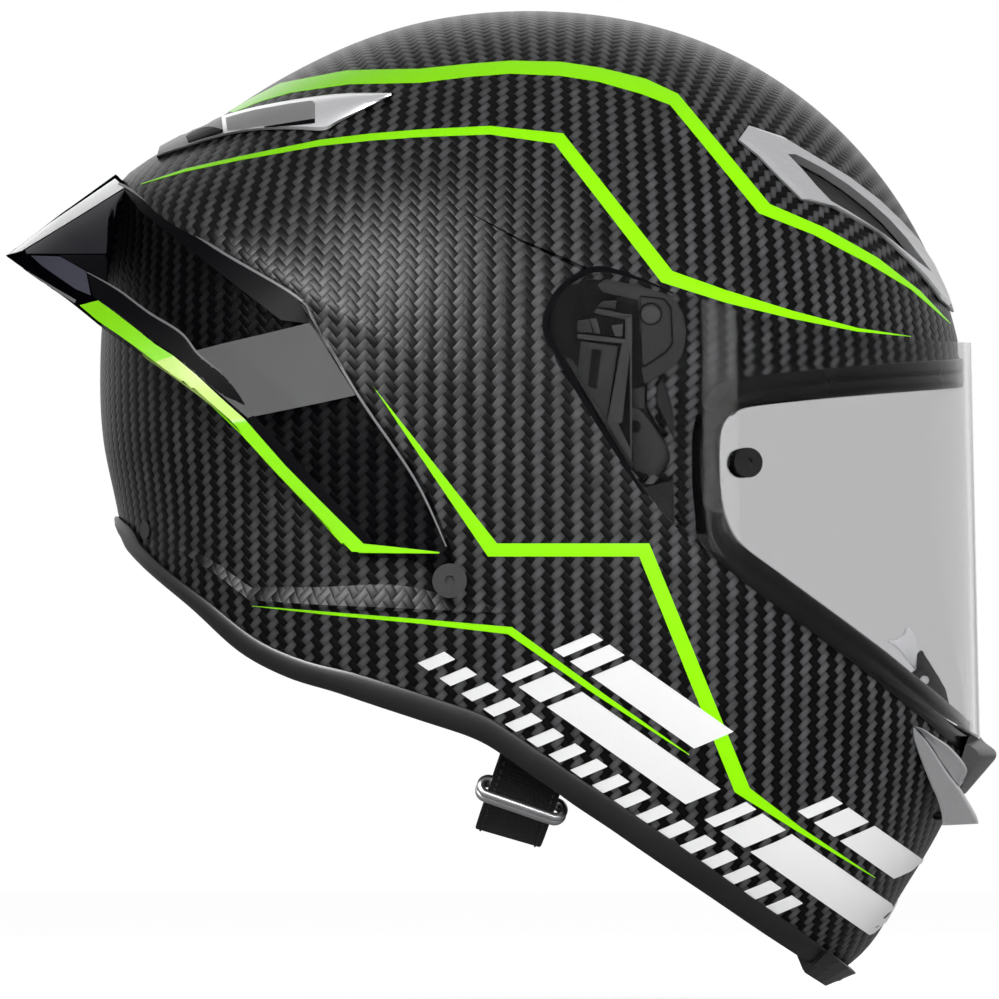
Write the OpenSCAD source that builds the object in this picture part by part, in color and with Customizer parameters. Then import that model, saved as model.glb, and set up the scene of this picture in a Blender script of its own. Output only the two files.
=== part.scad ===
// Full face sport helmet, in the attitude in which it is worn.
// Millimetres. +X is forward, +Y is to the wearer's left, +Z is up.
// The origin is the middle of the head, between the ears.

/* [Shell] */
// Half the shell's width, at the ears
half_w = 125; // [122:0.5:128]
// Thickness of the moulded shell
shell_wall = 3.5; // [2.5:0.25:4]
// Width of the port seal, seen from the side
seal_w = 10; // [8:0.5:12]
// Lap of the port seal over the shell's edge
seal_lap = 3; // [2:0.5:4]
// Height of the port seal above the shell's face
seal_rise = 1.1; // [0.6:0.1:1.2]
// Width of the trim along the rim
trim_w = 8.5; // [6:0.5:11]
// Height of the rim trim above the shell's face
trim_rise = 1.7; // [1.5:0.1:2]

/* [Liner] */
// Gap between pieces that lie on each other
seat_gap = 0.3; // [0.2:0.1:0.5]
// Thickness of the crown's comfort padding
pad_t = 7; // [5:0.5:9]
// Half the width of the room for the head
head_half_w = 79; // [76:0.5:81]
// Half the length of the room for the head
head_half_l = 101; // [98:1:103]
// Height of the room for the head above the ears
head_h = 112; // [109:1:115]
// Thickness of a cheek pad
cheek_t = 24; // [20:1:26]

/* [Visor] */
// Thickness of the visor
visor_t = 2.2; // [1.8:0.1:2.4]
// Gap between the visor's flat sides and the pieces below them
visor_gap = 0.4; // [0.3:0.1:0.6]
// How far the visor's flat sides lie inside the shell's widest place
visor_inset = 5.5; // [4.5:0.25:6]
// Depth of the bay below the visor's inner face, in which the pivot works
bay_depth = 7.5; // [7:0.25:8]
// Thickness of the pivot base's plate
base_t = 3; // [2.6:0.2:3.2]
// Radius of the visor's pivot lug
lug_r = 3.4; // [3:0.2:4]
// Running clearance round each shaft
running_gap = 0.08; // [0.05:0.01:0.1]
// Radius of a post that carries tear-off films
post_r = 5.2; // [4.4:0.2:5.6]
// Height of a post that carries tear-off films
post_h = 3.2; // [2.6:0.2:3.6]

/* [Spoiler] */
// Thickness of the spoiler's moulding
spoiler_t = 2.4; // [1.8:0.2:3]
// How far the spoiler's tail stands out behind the shell
tail_reach = 36; // [30:1:40]

/* [Chin strap] */
// Width of the webbing
strap_w = 24; // [20:1:26]
// Thickness of the webbing
strap_t = 2; // [1.6:0.2:2.4]
// Thickness of the D-rings' wire
ring_wire = 3; // [2.6:0.2:3.6]

/* [Hidden] */
far = 400;
carbon = [0.09, 0.09, 0.095];
silver = [0.72, 0.72, 0.74];
black = [0.11, 0.11, 0.115];
rubber = [0.08, 0.08, 0.08];
smoke = [0.2, 0.2, 0.24];
cloth = [0.15, 0.15, 0.16];
foam = [0.25, 0.25, 0.26];
clear = [0.8, 0.82, 0.84];

// Side outline of the shell, as [angle round the origin, distance]
outline_rows = [
    [-166, 154], [-150, 164], [-130, 181], [-110, 196], [-90, 204], [-75, 210], [-64, 212],
    [-58.4, 210], [-52, 200.5], [-44.5, 192.3], [-39.3, 187], [-34.9, 178.5], [-28, 166], [-20, 155.5],
    [-10, 148], [0, 145.3], [13, 146.8], [30, 147.5], [60, 149], [90, 150], [110, 153.5],
    [126, 157.3], [138, 163], [146, 172.5], [149, 175], [153, 170], [160, 165], [170, 159.8],
    [180, 156.3], [188, 153.5]
];
// Exponent of the rounding from the flank to the outline, as [angle, exponent]
round_rows = [[-150, 2.5], [-90, 2.4], [-45, 2.2], [0, 2.2], [60, 2.26], [90, 2.32], [140, 2.45]];
// The rim, as [angle round the origin, distance]
rim_rows = [
    [-184, 205], [-176, 176], [-168.4, 154.5], [-165.3, 151.5], [-155, 137.4], [-145, 129.4],
    [-138, 122.4], [-130, 114], [-120, 108.2], [-110, 105.9], [-103, 106.8], [-97, 111.4],
    [-92, 117.4], [-88.4, 122.5], [-80, 138.7], [-72, 162.4], [-66, 189.1], [-61.6, 216.8], [-56, 270]
];
rim_steps = 28;
web_lift = 2;
// Clearance of a piece that lies on the shell's faceted face
face_gap = 0.55;
shell_round = 64;
shell_across = 22;
inner_round = 36;
inner_across = 14;

// The eye port's edge on one flank, from the top of the front to the bottom, as [x, z]
port_edge = [
    [146, 18.5], [144, 18.5], [140, 18], [131, 17.4], [117, 16.4], [100, 15], [82, 13.2], [69, 11.8],
    [62.5, 9.5], [59.5, 4], [59, -8], [59.5, -19], [61.5, -28], [66.5, -36.4], [80, -46.6],
    [95, -57.6], [108, -67.2], [118, -74.8], [126, -81.4], [132.5, -86.6], [138, -91.2],
    [142, -94.6], [145, -97], [147.5, -98.5]
];
port_middle = [147, -38];

// The visor
pivot = [34.8, 42.8];
visor_half_w = half_w - visor_inset;
visor_flank = half_w + 2.2;
visor_round = 2.25;
visor_lean = 1.27;
visor_open = 45;
visor_outline = [
    [170, 34], [145, 34], [118, 35.7], [99, 37.8], [76.3, 42], [53.5, 48.6], [38.5, 52.5],
    [26, 56.4], [19, 57.6], [12, 57.2], [5.5, 53.8], [1.2, 48], [-0.4, 41], [0, 34.5],
    [3.2, 28.5], [19.6, 3.8], [27.6, -9.4], [41.3, -27.3], [59.5, -43.7], [87.5, -64.7],
    [112, -81.2], [140, -98.7], [150, -104.5], [170, -105]
];
bend_dip = 0.6;
seal_half_w = visor_half_w - visor_gap - bend_dip;
seat_half_w = seal_half_w - seal_rise;
bay_floor = visor_half_w - bay_depth;
deck_top = visor_half_w - visor_gap;
lever_low = bay_floor + base_t + seat_gap;
lever_high = deck_top - 0.5;
bay_outline = [
    [14, 56.2], [21.7, 54.5], [41.3, 50.6], [47, 40.6], [47, 33.2], [34, 20.6], [33.5, 12],
    [38.6, 2], [42.4, -6.3], [39.2, -11.4], [33.2, -13], [27, -10.5], [2.2, 28], [-0.8, 36.8],
    [0, 45.5], [4.4, 52.6]
];
bay_wall = 3;
deck_outline = [[22.6, 52], [41, 48.3], [45.4, 40], [45.4, 34.2], [32.6, 22], [31, 46.4], [23, 48]];
lever_pin = [14, 46];
post_turn = 24.3;
post_z = -8.75;
lock_pin = [131, -84];

// A table of angles that goes round and round
function around(rows) = concat(
    [for (row = rows) [row[0] - 360, row[1]]], rows, [for (row = rows) [row[0] + 360, row[1]]]);
function span_of(rows, x, i = 0) = i >= len(rows) - 2 || x < rows[i + 1][0] ? i : span_of(rows, x, i + 1);
function slope_at(rows, i) =
    let (a = max(i - 1, 0), b = min(i + 1, len(rows) - 1)) (rows[b][1] - rows[a][1]) / (rows[b][0] - rows[a][0]);
// A smooth curve through a table's rows, read at x
function smooth(rows, x) =
    let (i = span_of(rows, x), step = rows[i + 1][0] - rows[i][0], u = (x - rows[i][0]) / step)
    let (a = slope_at(rows, i) * step, b = slope_at(rows, i + 1) * step, rise = rows[i + 1][1] - rows[i][1])
    rows[i][1] + u * (a + u * (3 * rise - 2 * a - b + u * (a + b - 2 * rise)));

outline_table = around(outline_rows);
round_table = around(round_rows);
function reach(angle) = smooth(outline_table, angle);
function rounding(angle) = smooth(round_table, angle);
visor_front = reach(0) - 0.27;
// A point whose place across the helmet was read off a shell of 250 mm, moved to this shell's width
function widened(p) = [p[0], p[1] * half_w / 125, p[2]];

// A point of the shell's face grown by d. turn goes from 0 on the right flank through 90 on the outline to 180.
function face_point(angle, turn, d) =
    let (n = rounding(angle), out = pow(sin(turn), 2 / n) * (reach(angle) + d))
    let (side = pow(abs(cos(turn)), 2 / n) * (half_w + d) * (turn < 90 ? -1 : 1))
    [out * cos(angle), side, out * sin(angle)];
function turn_of(angle, share) = asin(pow(min(share, 1), rounding(angle) / 2));
// The point of the right flank's face grown by d that the side view shows at [x, z]
function on_face(at, d) =
    let (angle = atan2(at[1], at[0])) face_point(angle, turn_of(angle, norm(at) / reach(angle)), d);
// Half the width of the face grown by d, at [x, z]
function half_width(at, d = 0) =
    let (angle = atan2(at[1], at[0]), n = rounding(angle), share = norm(at) / (reach(angle) + d))
    (half_w + d) * pow(max(1 - pow(share, n), 0), 1 / n);
function other_side(p) = [p[0], -p[1], p[2]];

// The rim's distance from the origin, moved up by lift
lift_rows = [[-184, 0.6], [-160, 0.65], [-135, 1], [-100, 1], [-85, 1.25], [-72, 1.6], [-56, 1.9]];
function rim(angle, lift) = smooth(rim_rows, angle) - lift * smooth(lift_rows, angle);
// The angle at which the rim meets the side outline
function rim_end(lift, inner, outer, n = 16) =
    let (middle = (inner + outer) / 2)
    n == 0 ? middle
    : rim(middle, lift) > reach(middle) ? rim_end(lift, inner, middle, n - 1)
    : rim_end(lift, middle, outer, n - 1);
// A point of the rim's curve on the right flank, u from 0 at the back to 1 at the chin
function rim_point(u, lift, d, ends) =
    let (angle = (ends[0] + ends[1]) / 2 - (ends[1] - ends[0]) / 2 * cos(180 * u))
    let (share = u == 0 || u == 1 ? 1 : rim(angle, lift) / reach(angle))
    face_point(angle, turn_of(angle, share), d);
function rim_ends(lift) = [rim_end(lift, -150, -184), rim_end(lift, -80, -56)];
// The rings of a profile of [lift, d] carried along the rim, on the right from first to last
function rim_rings(profile, first = 0, last = 1, steps = rim_steps) =
    let (ends = [for (p = profile) rim_ends(p[0])])
    [for (k = [0 : steps]) let (u = first + (last - first) * k / steps)
        [for (j = [0 : len(profile) - 1]) rim_point(u, profile[j][0], profile[j][1], ends[j])]];
function inner_ones(list) = [for (k = [1 : len(list) - 2]) list[k]];
function turned(list) = [for (i = [len(list) - 1 : -1 : 0]) list[i]];
function mirrored(rings) = [for (ring = turned(rings)) [for (p = ring) other_side(p)]];
// The rings of the right side that start in the middle, with those of the left before them
function both_ways(right) = let (left = mirrored(right)) concat([for (k = [0 : len(left) - 2]) left[k]], right);
// The rings of a profile carried round the whole rim
function rim_loop(profile, steps = rim_steps) =
    let (right = rim_rings(profile, steps = steps)) concat(right, inner_ones(mirrored(right)));

// A closed solid from rings of points between two poles
module ringed(first, rings, last) {
    count = len(rings[0]);
    rows = len(rings);
    points = concat([first], [for (ring = rings) each ring], [last]);
    caps = [for (i = [0 : count - 1]) let (j = (i + 1) % count)
        each [[0, 1 + j, 1 + i], [rows * count + 1, 1 + (rows - 1) * count + i, 1 + (rows - 1) * count + j]]];
    walls = [for (r = [0 : rows - 2], i = [0 : count - 1])
        let (j = (i + 1) % count, a = 1 + r * count, b = a + count)
        each [[a + i, a + j, b + j], [a + i, b + j, b + i]]];
    polyhedron(points, concat(caps, walls));
}

// A closed solid from rings that run round to the first again
module looped(rings) {
    count = len(rings[0]);
    rows = len(rings);
    walls = [for (r = [0 : rows - 1], i = [0 : count - 1])
        let (j = (i + 1) % count, a = r * count, b = (r + 1) % rows * count)
        each [[a + i, a + j, b + j], [a + i, b + j, b + i]]];
    polyhedron([for (ring = rings) each ring], walls);
}

function middle_of(ring) = [for (c = [0 : 2]) [for (p = ring) p[c]] * [for (p = ring) 1] / len(ring)];
// A profile carried along a row of rings, closed at both ends
module swept(rings) {
    ringed(middle_of(rings[0]), rings, middle_of(rings[len(rings) - 1]));
}

// The shell's full body grown by d, in a given number of steps round and across
module body(d, around_n, across_n) {
    ringed(
        [0, -half_w - d, 0],
        [for (k = [1 : across_n - 1]) [for (i = [0 : around_n - 1])
            face_point(360 * i / around_n - 180, 180 * k / across_n, d)]],
        [0, half_w + d, 0]);
}

// Carries a drawing of the side view through the width, from one y to another
module across(from_y = -far, to_y = far) {
    translate([0, to_y, 0]) rotate([90, 0, 0]) linear_extrude(to_y - from_y) children();
}

module both_sides() {
    children();
    mirror([0, 1, 0]) children();
}

// The port's edge, moved outwards by w in the side view
function port_normal(i) =
    let (a = port_edge[max(i - 1, 0)], b = port_edge[min(i + 1, len(port_edge) - 1)], s = (b - a) / norm(b - a))
    [s[1], -s[0]];
function port_shift(i, w) =
    let (away = port_edge[i] - port_middle, s = away / norm(away), n = port_normal(i))
    port_edge[i] + s * w / max(abs(s * n), 0.6);
function port_line(w) = [for (i = [0 : len(port_edge) - 1]) port_shift(i, w)];

module port_opening(w) {
    line = port_line(w);
    across() polygon(concat([[far, line[0][1]]], line, [[far, line[len(line) - 1][1]]]));
}

// Everything below the rim moved up by lift
module below_rim(lift) {
    across() polygon(concat(
        [for (a = [-184 : 2 : -60]) rim(a, lift) * [cos(a), sin(a)]],
        [[far, -far], [-far, -far]]));
}

module bay_shape(grown) {
    offset(delta = grown) polygon(bay_outline);
}

// All that the visor's side passes over as it opens
module visor_sweep() {
    for (a = [0 : visor_open / 3 : visor_open])
        translate(pivot) rotate(a) translate(-pivot) offset(delta = 0.8) polygon(visor_outline);
}

// Vent openings and frames in the side view
crown_outer = [
    [65.1, 103.6], [68.6, 108.5], [80.5, 104.6], [91.4, 98], [103.3, 91], [114.1, 82.9], [121.5, 76],
    [127.8, 69.3], [133.5, 60.5], [137.5, 51.8], [139.1, 48], [140.2, 44.5], [138, 46.5], [135.5, 48.6],
    [131, 54.6], [124.2, 62],
    [114.1, 71.4], [97.7, 80.5], [86.8, 83], [79.1, 90.6], [72, 98]
];
crown_inner = [
    [82, 98.6], [84.7, 98.6], [88.5, 96.8], [95, 93.4], [103, 88.2], [111, 82], [117.5, 76.2], [123.5, 69.6],
    [128.5, 63], [131.2, 59.4], [131.7, 58.7], [132, 58.2], [131.3, 58.7], [130.4, 59.4], [127.4, 61.6],
    [121.6, 66.3], [113, 72.8],
    [103, 79], [97, 82.4], [92, 87.6], [86.5, 94]
];
crown_hole = 0.47 * crown_outer + 0.53 * crown_inner;
// The rear frame's stations on the right, from its tip to the middle, as [lower edge, upper edge]
rear_rows = [
    [[-55.3, 120], [-56.5, 120.8]], [[-66, 115.6], [-63, 121.2]], [[-78, 110], [-72, 121.2]],
    [[-92, 109.8], [-88, 120.6]], [[-104.3, 109.3], [-103, 117.6]], [[-115.4, 107], [-114.2, 111.8]],
    [[-125, 103.6], [-122.8, 107.2]], [[-134.8, 98.8], [-132.2, 102]]
];
rear_window = [[-83, 116.5], [-83, 111.8], [-104, 111], [-112, 109.4], [-108, 113.8], [-96, 116.4]];
rear_rise = 3.2;

// A frame that follows the shell's face, with an opening in it
module face_frame(outer, inner, rise, depth) {
    looped([for (i = [0 : len(outer) - 1]) let (leg = 0.3 * outer[i] + 0.7 * inner[i]) [
        on_face(leg, face_gap), on_face(leg, -depth), on_face(inner[i], -depth), on_face(inner[i], rise * 0.7),
        on_face(0.8 * outer[i] + 0.2 * inner[i], rise), on_face(outer[i], rise * 0.7), on_face(outer[i], face_gap),
        on_face(0.6 * outer[i] + 0.4 * inner[i], face_gap)
    ]]);
}

// A thin panel that follows the shell's face inside a closed line
module face_panel(line, low, high, edge = 0.94) {
    middle = [for (c = [0, 1]) [for (p = line) p[c]] * [for (p = line) 1] / len(line)];
    rings = [for (part = [[0.5, low], [edge, low], [edge, high], [0.5, high]])
        [for (p = line) on_face(middle + (p - middle) * part[0], part[1])]];
    ringed(on_face(middle, low), rings, on_face(middle, high));
}

chin_slots = [-113, -119, -125, -131];
module outer_shell() {
    color(carbon) difference() {
        union() {
            difference() {
                body(0, shell_round, shell_across);
                body(-shell_wall, inner_round, inner_across);
            }
            both_sides() intersection() {
                across(bay_floor - bay_wall, far) bay_shape(bay_wall);
                body(-0.4, inner_round, inner_across);
            }
            both_sides() flank_ridge();
        }
        below_rim(web_lift + 1.7);
        port_opening(seal_w - seal_lap + seat_gap / 2);
        both_sides() across(seat_half_w, far) visor_sweep();
        both_sides() across(bay_floor, far) bay_shape(0);
        both_sides() face_panel(crown_hole, -6, 2, 1);
        both_sides() face_panel(rear_window, -6, 2, 1.08);
        looped(rim_loop([[web_lift + 1.5, 2], [web_lift + 1.5, -trim_leg], [-4, -trim_leg], [-4, 2]]));
        both_sides() for (z = chin_slots) hull() for (y = [14, 34])
            translate([150, y, z]) rotate([0, 90, 0]) cylinder(h = 40, r = 1.8, center = true, $fn = 16);
    }
}

// The raised line along the flank above the rim, as [lower edge, upper edge]
ridge_rows = [
    [[-131, -37.5], [-130, -36]], [[-118, -46.5], [-117, -43]], [[-105.7, -55], [-104.6, -50.8]],
    [[-80, -57], [-80, -49.9]], [[-55, -58.5], [-55, -49.8]], [[-36, -59.5], [-36, -52]], [[-13, -60.4], [-13, -59]]
];
ridge_rise = 2.2;
// Cuts what lies on the shell to its face, with the usual gap
module on_shell() {
    difference() {
        children();
        body(seat_gap, shell_round, shell_across);
    }
}
module flank_ridge() {
    swept([for (row = ridge_rows) [
        on_face(row[0], -1.8), on_face(row[0], -0.7), on_face(0.65 * row[0] + 0.35 * row[1], ridge_rise),
        on_face(row[1], -0.7), on_face(row[1], -1.8)]]);
}

// The room for the head, as [height, half length, half width, middle]
room_rows = [
    [-215, 100, 92, 8], [-150, 97, 84, 10], [-110, 94, 76, 8], [-60, 97, 76, 2], [0, 101, 79, -6],
    [40, 98, 77, -7], [75, 82, 64, -9], [98, 54, 43, -11], [108, 30, 24, -12]
];
function room_row(z) = let (i = span_of(room_rows, z), a = room_rows[i], b = room_rows[i + 1],
    u = (z - a[0]) / (b[0] - a[0])) a + (b - a) * u;
function room_point(z, angle, d) =
    let (row = room_row(z), l = row[1] + head_half_l - 101 + d, w = row[2] + head_half_w - 79 + d)
    let (raise = z > 0 ? z * (head_h - 112 + d) / 112 : 0)
    [row[3] + l * cos(angle), w * sin(angle), z + raise];
module head_room(d, steps = 36) {
    ringed(
        [8, 0, -216],
        [for (row = room_rows) [for (i = [0 : steps - 1]) room_point(row[0], -360 * i / steps, d)]],
        [-12, 0, head_h + d]);
}

// The space before the face, inside the chin bar
module face_room(d) {
    intersection() {
        body(-30 + d, 36, 12);
        across() polygon([[20, 60], [200, 60], [200, -250], [20, -250]]);
    }
}

chin_zone = [[44, -70], [64, -44], [150, -104], [200, -140], [200, -300], [30, -300]];
cheek_line = [
    [-44, -30], [-30, -16], [-6, -10], [22, -12], [42, -20], [52, -34], [60, -50], [64, -68], [62, -86],
    [56, -104], [44, -116], [26, -112], [6, -100], [-14, -86], [-34, -70], [-44, -50]
];
cheek_back = half_w - 26;

// Depth of the trim's inner leg below the shell's face, and the room that the liner leaves for it
trim_leg = shell_wall + 2.3;
module trim_room() {
    deep = trim_leg + 3;
    looped(rim_loop([[trim_w + 2, -2], [trim_w + 2, -deep], [-6, -deep], [-6, -2]], 16));
}

module impact_liner() {
    color(foam) difference() {
        body(-shell_wall - seat_gap, inner_round, inner_across);
        head_room(pad_t + seat_gap);
        face_room(0);
        below_rim(trim_w + 2.5);
        port_opening(seal_w - seal_lap + 0.4);
        across() offset(delta = 0.2) polygon(chin_zone);
        both_sides() across(strap_seat - 4.5, strap_seat + 3.5) polygon(strap_slot);
        both_sides() across(strap_seat - 24, strap_seat) polygon(strap_flare);
        roll_form(1, 14, 0.56);
        trim_room();
        both_sides() across(strap_seat - 12, far) translate(strap_pivot) circle(r = 3.4, $fn = 32);
        both_sides() across(bay_floor - bay_wall - seat_gap, far) bay_shape(bay_wall + 0.5);
        both_sides() across(40, cheek_back + 0.6) offset(delta = 1) polygon(cheek_line);
        for (y = [-30, 30]) for (a = [30 : 30 : 120]) hull() for (b = [a, a + 30])
            translate([-8 + 98 * cos(b), y, 4 + 110 * sin(b)]) sphere(r = 6, $fn = 8);
    }
}

module chin_liner() {
    color(foam) difference() {
        intersection() {
            body(-shell_wall - seat_gap, inner_round, inner_across);
            across() polygon(chin_zone);
        }
        body(-26, 36, 12);
        below_rim(trim_w + 2.5);
        trim_room();
        port_opening(seal_w - seal_lap + 0.4);
        both_sides() across(40, cheek_back + 0.6) offset(delta = 1) polygon(cheek_line);
        both_sides() for (z = chin_slots) hull() for (y = [14, 34])
            translate([140, y, z]) rotate([0, 90, 0]) cylinder(h = 60, r = 1.8, center = true, $fn = 12);
        both_sides() hull() for (y = [10, 60])
            translate([128, y, -112]) sphere(r = 3, $fn = 12);
    }
}

// Lowest edge of the crown padding, by angle from the front
function crown_edge(angle) = -8 + 34 * pow(max(cos(angle), 0), 2) - 26 * pow(max(-cos(angle), 0), 2);
module crown_liner() {
    steps = 36;
    parts = [0.06, 0.2, 0.38, 0.58, 0.78, 0.93, 1];
    function at(part, i, d) =
        let (angle = -360 * i / steps, top = 108, edge = crown_edge(angle))
        let (z = top - (top - edge) * part, quilt = 1.6 * pow(abs(sin(4 * angle)), 0.5) - 1.6)
        room_point(z, angle, d + (d > 1 ? 0 : -quilt * sin(180 * part)));
    inside = [for (part = parts) [for (i = [0 : steps - 1]) at(part, i, 0)]];
    outside = [for (k = [len(parts) - 1 : -1 : 0]) [for (i = [0 : steps - 1]) at(parts[k], i, pad_t)]];
    color(cloth) ringed([-12, 0, head_h], concat(inside, outside), [-12, 0, head_h + pad_t]);
}

// A cushion with a crown and drawn-in sides, between the side view's line and y
module cushion(line, back, thickness) {
    middle = [for (c = [0, 1]) [for (p = line) p[c]] * [for (p = line) 1] / len(line)];
    rows = [[0.5, 0], [0.94, 0], [1, 0.2], [0.98, 0.5], [0.9, 0.78], [0.72, 0.93], [0.66, 0.86], [0.6, 0.95], [0.3, 1]];
    rings = [for (row = rows) [for (p = line) let (q = middle + (p - middle) * row[0])
        [q[0], back - thickness * row[1], q[1]]]];
    ringed([middle[0], back, middle[1]], rings, [middle[0], back - thickness, middle[1]]);
}
module cheek_pad_left() {
    color(cloth) cushion(cheek_line, cheek_back, cheek_t);
}
module cheek_pad_right() {
    mirror([0, 1, 0]) cheek_pad_left();
}

// The roll round the neck, along the back of the rim: half its height and thickness, and its depth in the shell
roll_half_h = 8;
roll_half_t = 9;
roll_depth = 16.4;
module roll_form(grown, steps, last) {
    profile = [for (a = [0 : 36 : 324])
        [0.6 + (roll_half_h + grown) * cos(a), -roll_depth - (roll_half_t + grown) * sin(a)]];
    swept(both_ways(rim_rings(profile, 0, last, steps)));
}
module neck_roll() {
    color(cloth) roll_form(0, 20, 0.53);
}

module rim_trim() {
    profile = [
        [trim_w, trim_rise * 0.9], [trim_w, face_gap + 0.3], [web_lift, face_gap + 0.3], [web_lift, -trim_leg],
        [trim_w, -trim_leg], [trim_w, -trim_leg - 1.2], [0, -trim_leg - 1.2], [-1, -1.5],
        [0, trim_rise * 0.7], [trim_w / 2, trim_rise + 0.2]
    ];
    color(black) looped(rim_loop(profile));
}

// The cap over the trim at the chin
module rim_front_cap() {
    profile = [
        [trim_w + 1.5, trim_rise + 2.3], [trim_w + 1.5, trim_rise + 1.3], [web_lift, trim_rise + 1.3],
        [-2.2, trim_rise], [-2.2, -shell_wall - 1.5], [-3.4, -shell_wall - 1.5], [-3.8, trim_rise + 0.4]
    ];
    right = rim_rings(profile, 1 - 2 / rim_steps, 1, 4);
    left = mirrored(right);
    color(black) swept(concat(right, [for (k = [1 : len(left) - 1]) left[k]]));
}

// Least thickness of the seal's lap, where the visor's seat presses it flat
lap_least = 0.35;
module port_seal() {
    under = face_gap + 0.2;
    profile = [
        [0, -6], [0, -0.6], [1.2, 0.7], [3, seal_rise], [4.6, 0.5], [6.2, seal_rise], [9, seal_rise],
        [seal_w, under], [seal_w - seal_lap, under], [seal_w - seal_lap - 2.8, -6]
    ];
    last = len(port_edge) - 1;
    function visor_at(p) = visor_front * pow(1 - pow(min(abs(p[1]) / visor_flank, 1), visor_round), 1 / visor_round)
        + (pivot[1] - p[2]) * tan(visor_lean);
    function flat(p, sunk) =
        [min(p[0], visor_at(p) - visor_gap - sunk), max(p[1], -seal_half_w + sunk), p[2]];
    function on_outline(p, i) = i == 0 || i == last ? [p[0], 0, p[2]] : p;
    right = [for (i = [0 : last])
        [for (p = turned(profile))
            flat(on_outline(on_face(port_shift(i, p[0]), p[1]), i), p[1] == under ? lap_least : 0)]];
    color(rubber) looped(concat(right, inner_ones(mirrored(right))));
}

// The spoiler's stations on the right, as [attached edge, ridge, free edge], from the tail to the screw
spoiler_rows = [
    [[-152, 0, 93], [-170, 0, 80], [-154.5 - tail_reach, 0, 64.5]],
    [[-150.5, -18, 91.5], [-170, -20, 79], [-153 - tail_reach, -22, 63.5]],
    [[-146, -38, 88.5], [-166, -42, 74], [-146 - tail_reach, -46, 58.5]],
    [[-139, -58, 84], [-156, -64, 66], [-168, -70, 48.6]],
    [[-128, -77, 76], [-143, -85, 56], [-152, -90, 36]],
    [[-116, -92, 67.6], [-127, -102, 44], [-134, -104, 24]],
    [[-101, -104, 58.6], [-110, -113, 31], [-116, -113, 11]],
    [[-87.5, -112.2, 50.4], [-93, -119, 18], [-98.5, -117, -8.5]],
    [[-78, -117, 33], [-78, -122.6, 2], [-80, -122, -28]],
    [[-64.5, -121.5, 15], [-64, -125.6, -12], [-68, -125, -39.4]],
    [[-45.5, -124.6, -13.3], [-46, -127.4, -28], [-48, -127.2, -41.6]],
    [[-35, -125.8, -38], [-34, -127.8, -44], [-36, -127.6, -52]]
];
module spoiler() {
    function shell_side(row) = [for (p = row) [p[0] + 0.8, p[1] + (p[1] < 0 ? spoiler_t : 0), p[2] - 0.6]];
    function station(row) = [for (p = row) widened(p)];
    right = [for (row = spoiler_rows) turned(concat(station(row), turned(shell_side(station(row)))))];
    color(smoke) on_shell() swept(both_ways(right));
}

screw_at = [-35, -49];
screw_r = 6;
module spoiler_screws() {
    color(black) both_sides() translate([screw_at[0], half_w + 2.9, screw_at[1]]) rotate([-90, 0, 0]) difference() {
        cylinder(h = 2.2, r = screw_r, $fn = 48);
        translate([0, 0, 1]) cylinder(h = 5, r = 2, $fn = 6);
    }
}

plug_at = [-140.7, -31.5];
module rear_plugs() {
    color(black) on_shell() both_sides() translate([plug_at[0], half_width(plug_at, 0.2), plug_at[1]])
        rotate([0, 0, 60]) rotate([-90, 0, 0]) cylinder(h = 1.8, r = 3.2, center = true, $fn = 48);
}

module crown_vent_frame_right() {
    color(silver) face_frame(crown_outer, crown_inner, 1.9, 1.8);
}
module crown_vent_frame_left() {
    mirror([0, 1, 0]) crown_vent_frame_right();
}
module crown_vent_grille_right() {
    color(black) face_panel(crown_inner, -3.2, -2.2);
}
module crown_vent_grille_left() {
    mirror([0, 1, 0]) crown_vent_grille_right();
}
module rear_vent_frame() {
    function band(lower, upper) = [
        on_face(lower, face_gap), on_face(lower, rear_rise * 0.7), on_face(0.8 * lower + 0.2 * upper, rear_rise),
        on_face(upper, rear_rise * 0.8), on_face(upper, face_gap)];
    right = [for (row = rear_rows) band(row[0], row[1])];
    middle = [[-142.7, 0, 97.3], [-145, 0, 98.6], [-144.5, 0, 101], [-142, 0, 102.4], [-139.2, 0, 101.4]];
    color(silver) difference() {
        on_shell() swept([for (ring = concat(right, [middle], mirrored(right))) turned(ring)]);
        both_sides() across(14, far) polygon(rear_window);
    }
}
module rear_vent_grilles() {
    color(black) both_sides() face_panel(rear_window, -3.2, -2.2, 0.9);
}

// The fin beside the chin's vent, a leaning plate
fin_outline = [
    [126.7, -99.8], [129.9, -100.7], [133.9, -103.4], [138.6, -106.4], [142.3, -110.1], [144.7, -113.1],
    [145.5, -115.5], [144, -119.5], [145.4, -125.2], [148.7, -130.9], [149.8, -133.5], [148.9, -134.6],
    [136.9, -134.5], [136.6, -130.9], [135, -125], [132.6, -119.8], [129.9, -113.1], [127.3, -106], [126, -101.4]
];
fin_t = 2.4;
fin_root = [138, -115];
fin_stand = 73.3;
module chin_vent_fin_left() {
    color(silver) intersection() {
        across(half_w - fin_stand - 40, half_w - fin_stand + 40) polygon(fin_outline);
        translate([fin_root[0], half_w - fin_stand, fin_root[1]]) rotate([-10.6, 0, -47.1])
            translate([-60, 0, -60]) cube([120, fin_t, 120]);
    }
}
module chin_vent_fin_right() {
    mirror([0, 1, 0]) chin_vent_fin_left();
}

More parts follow.
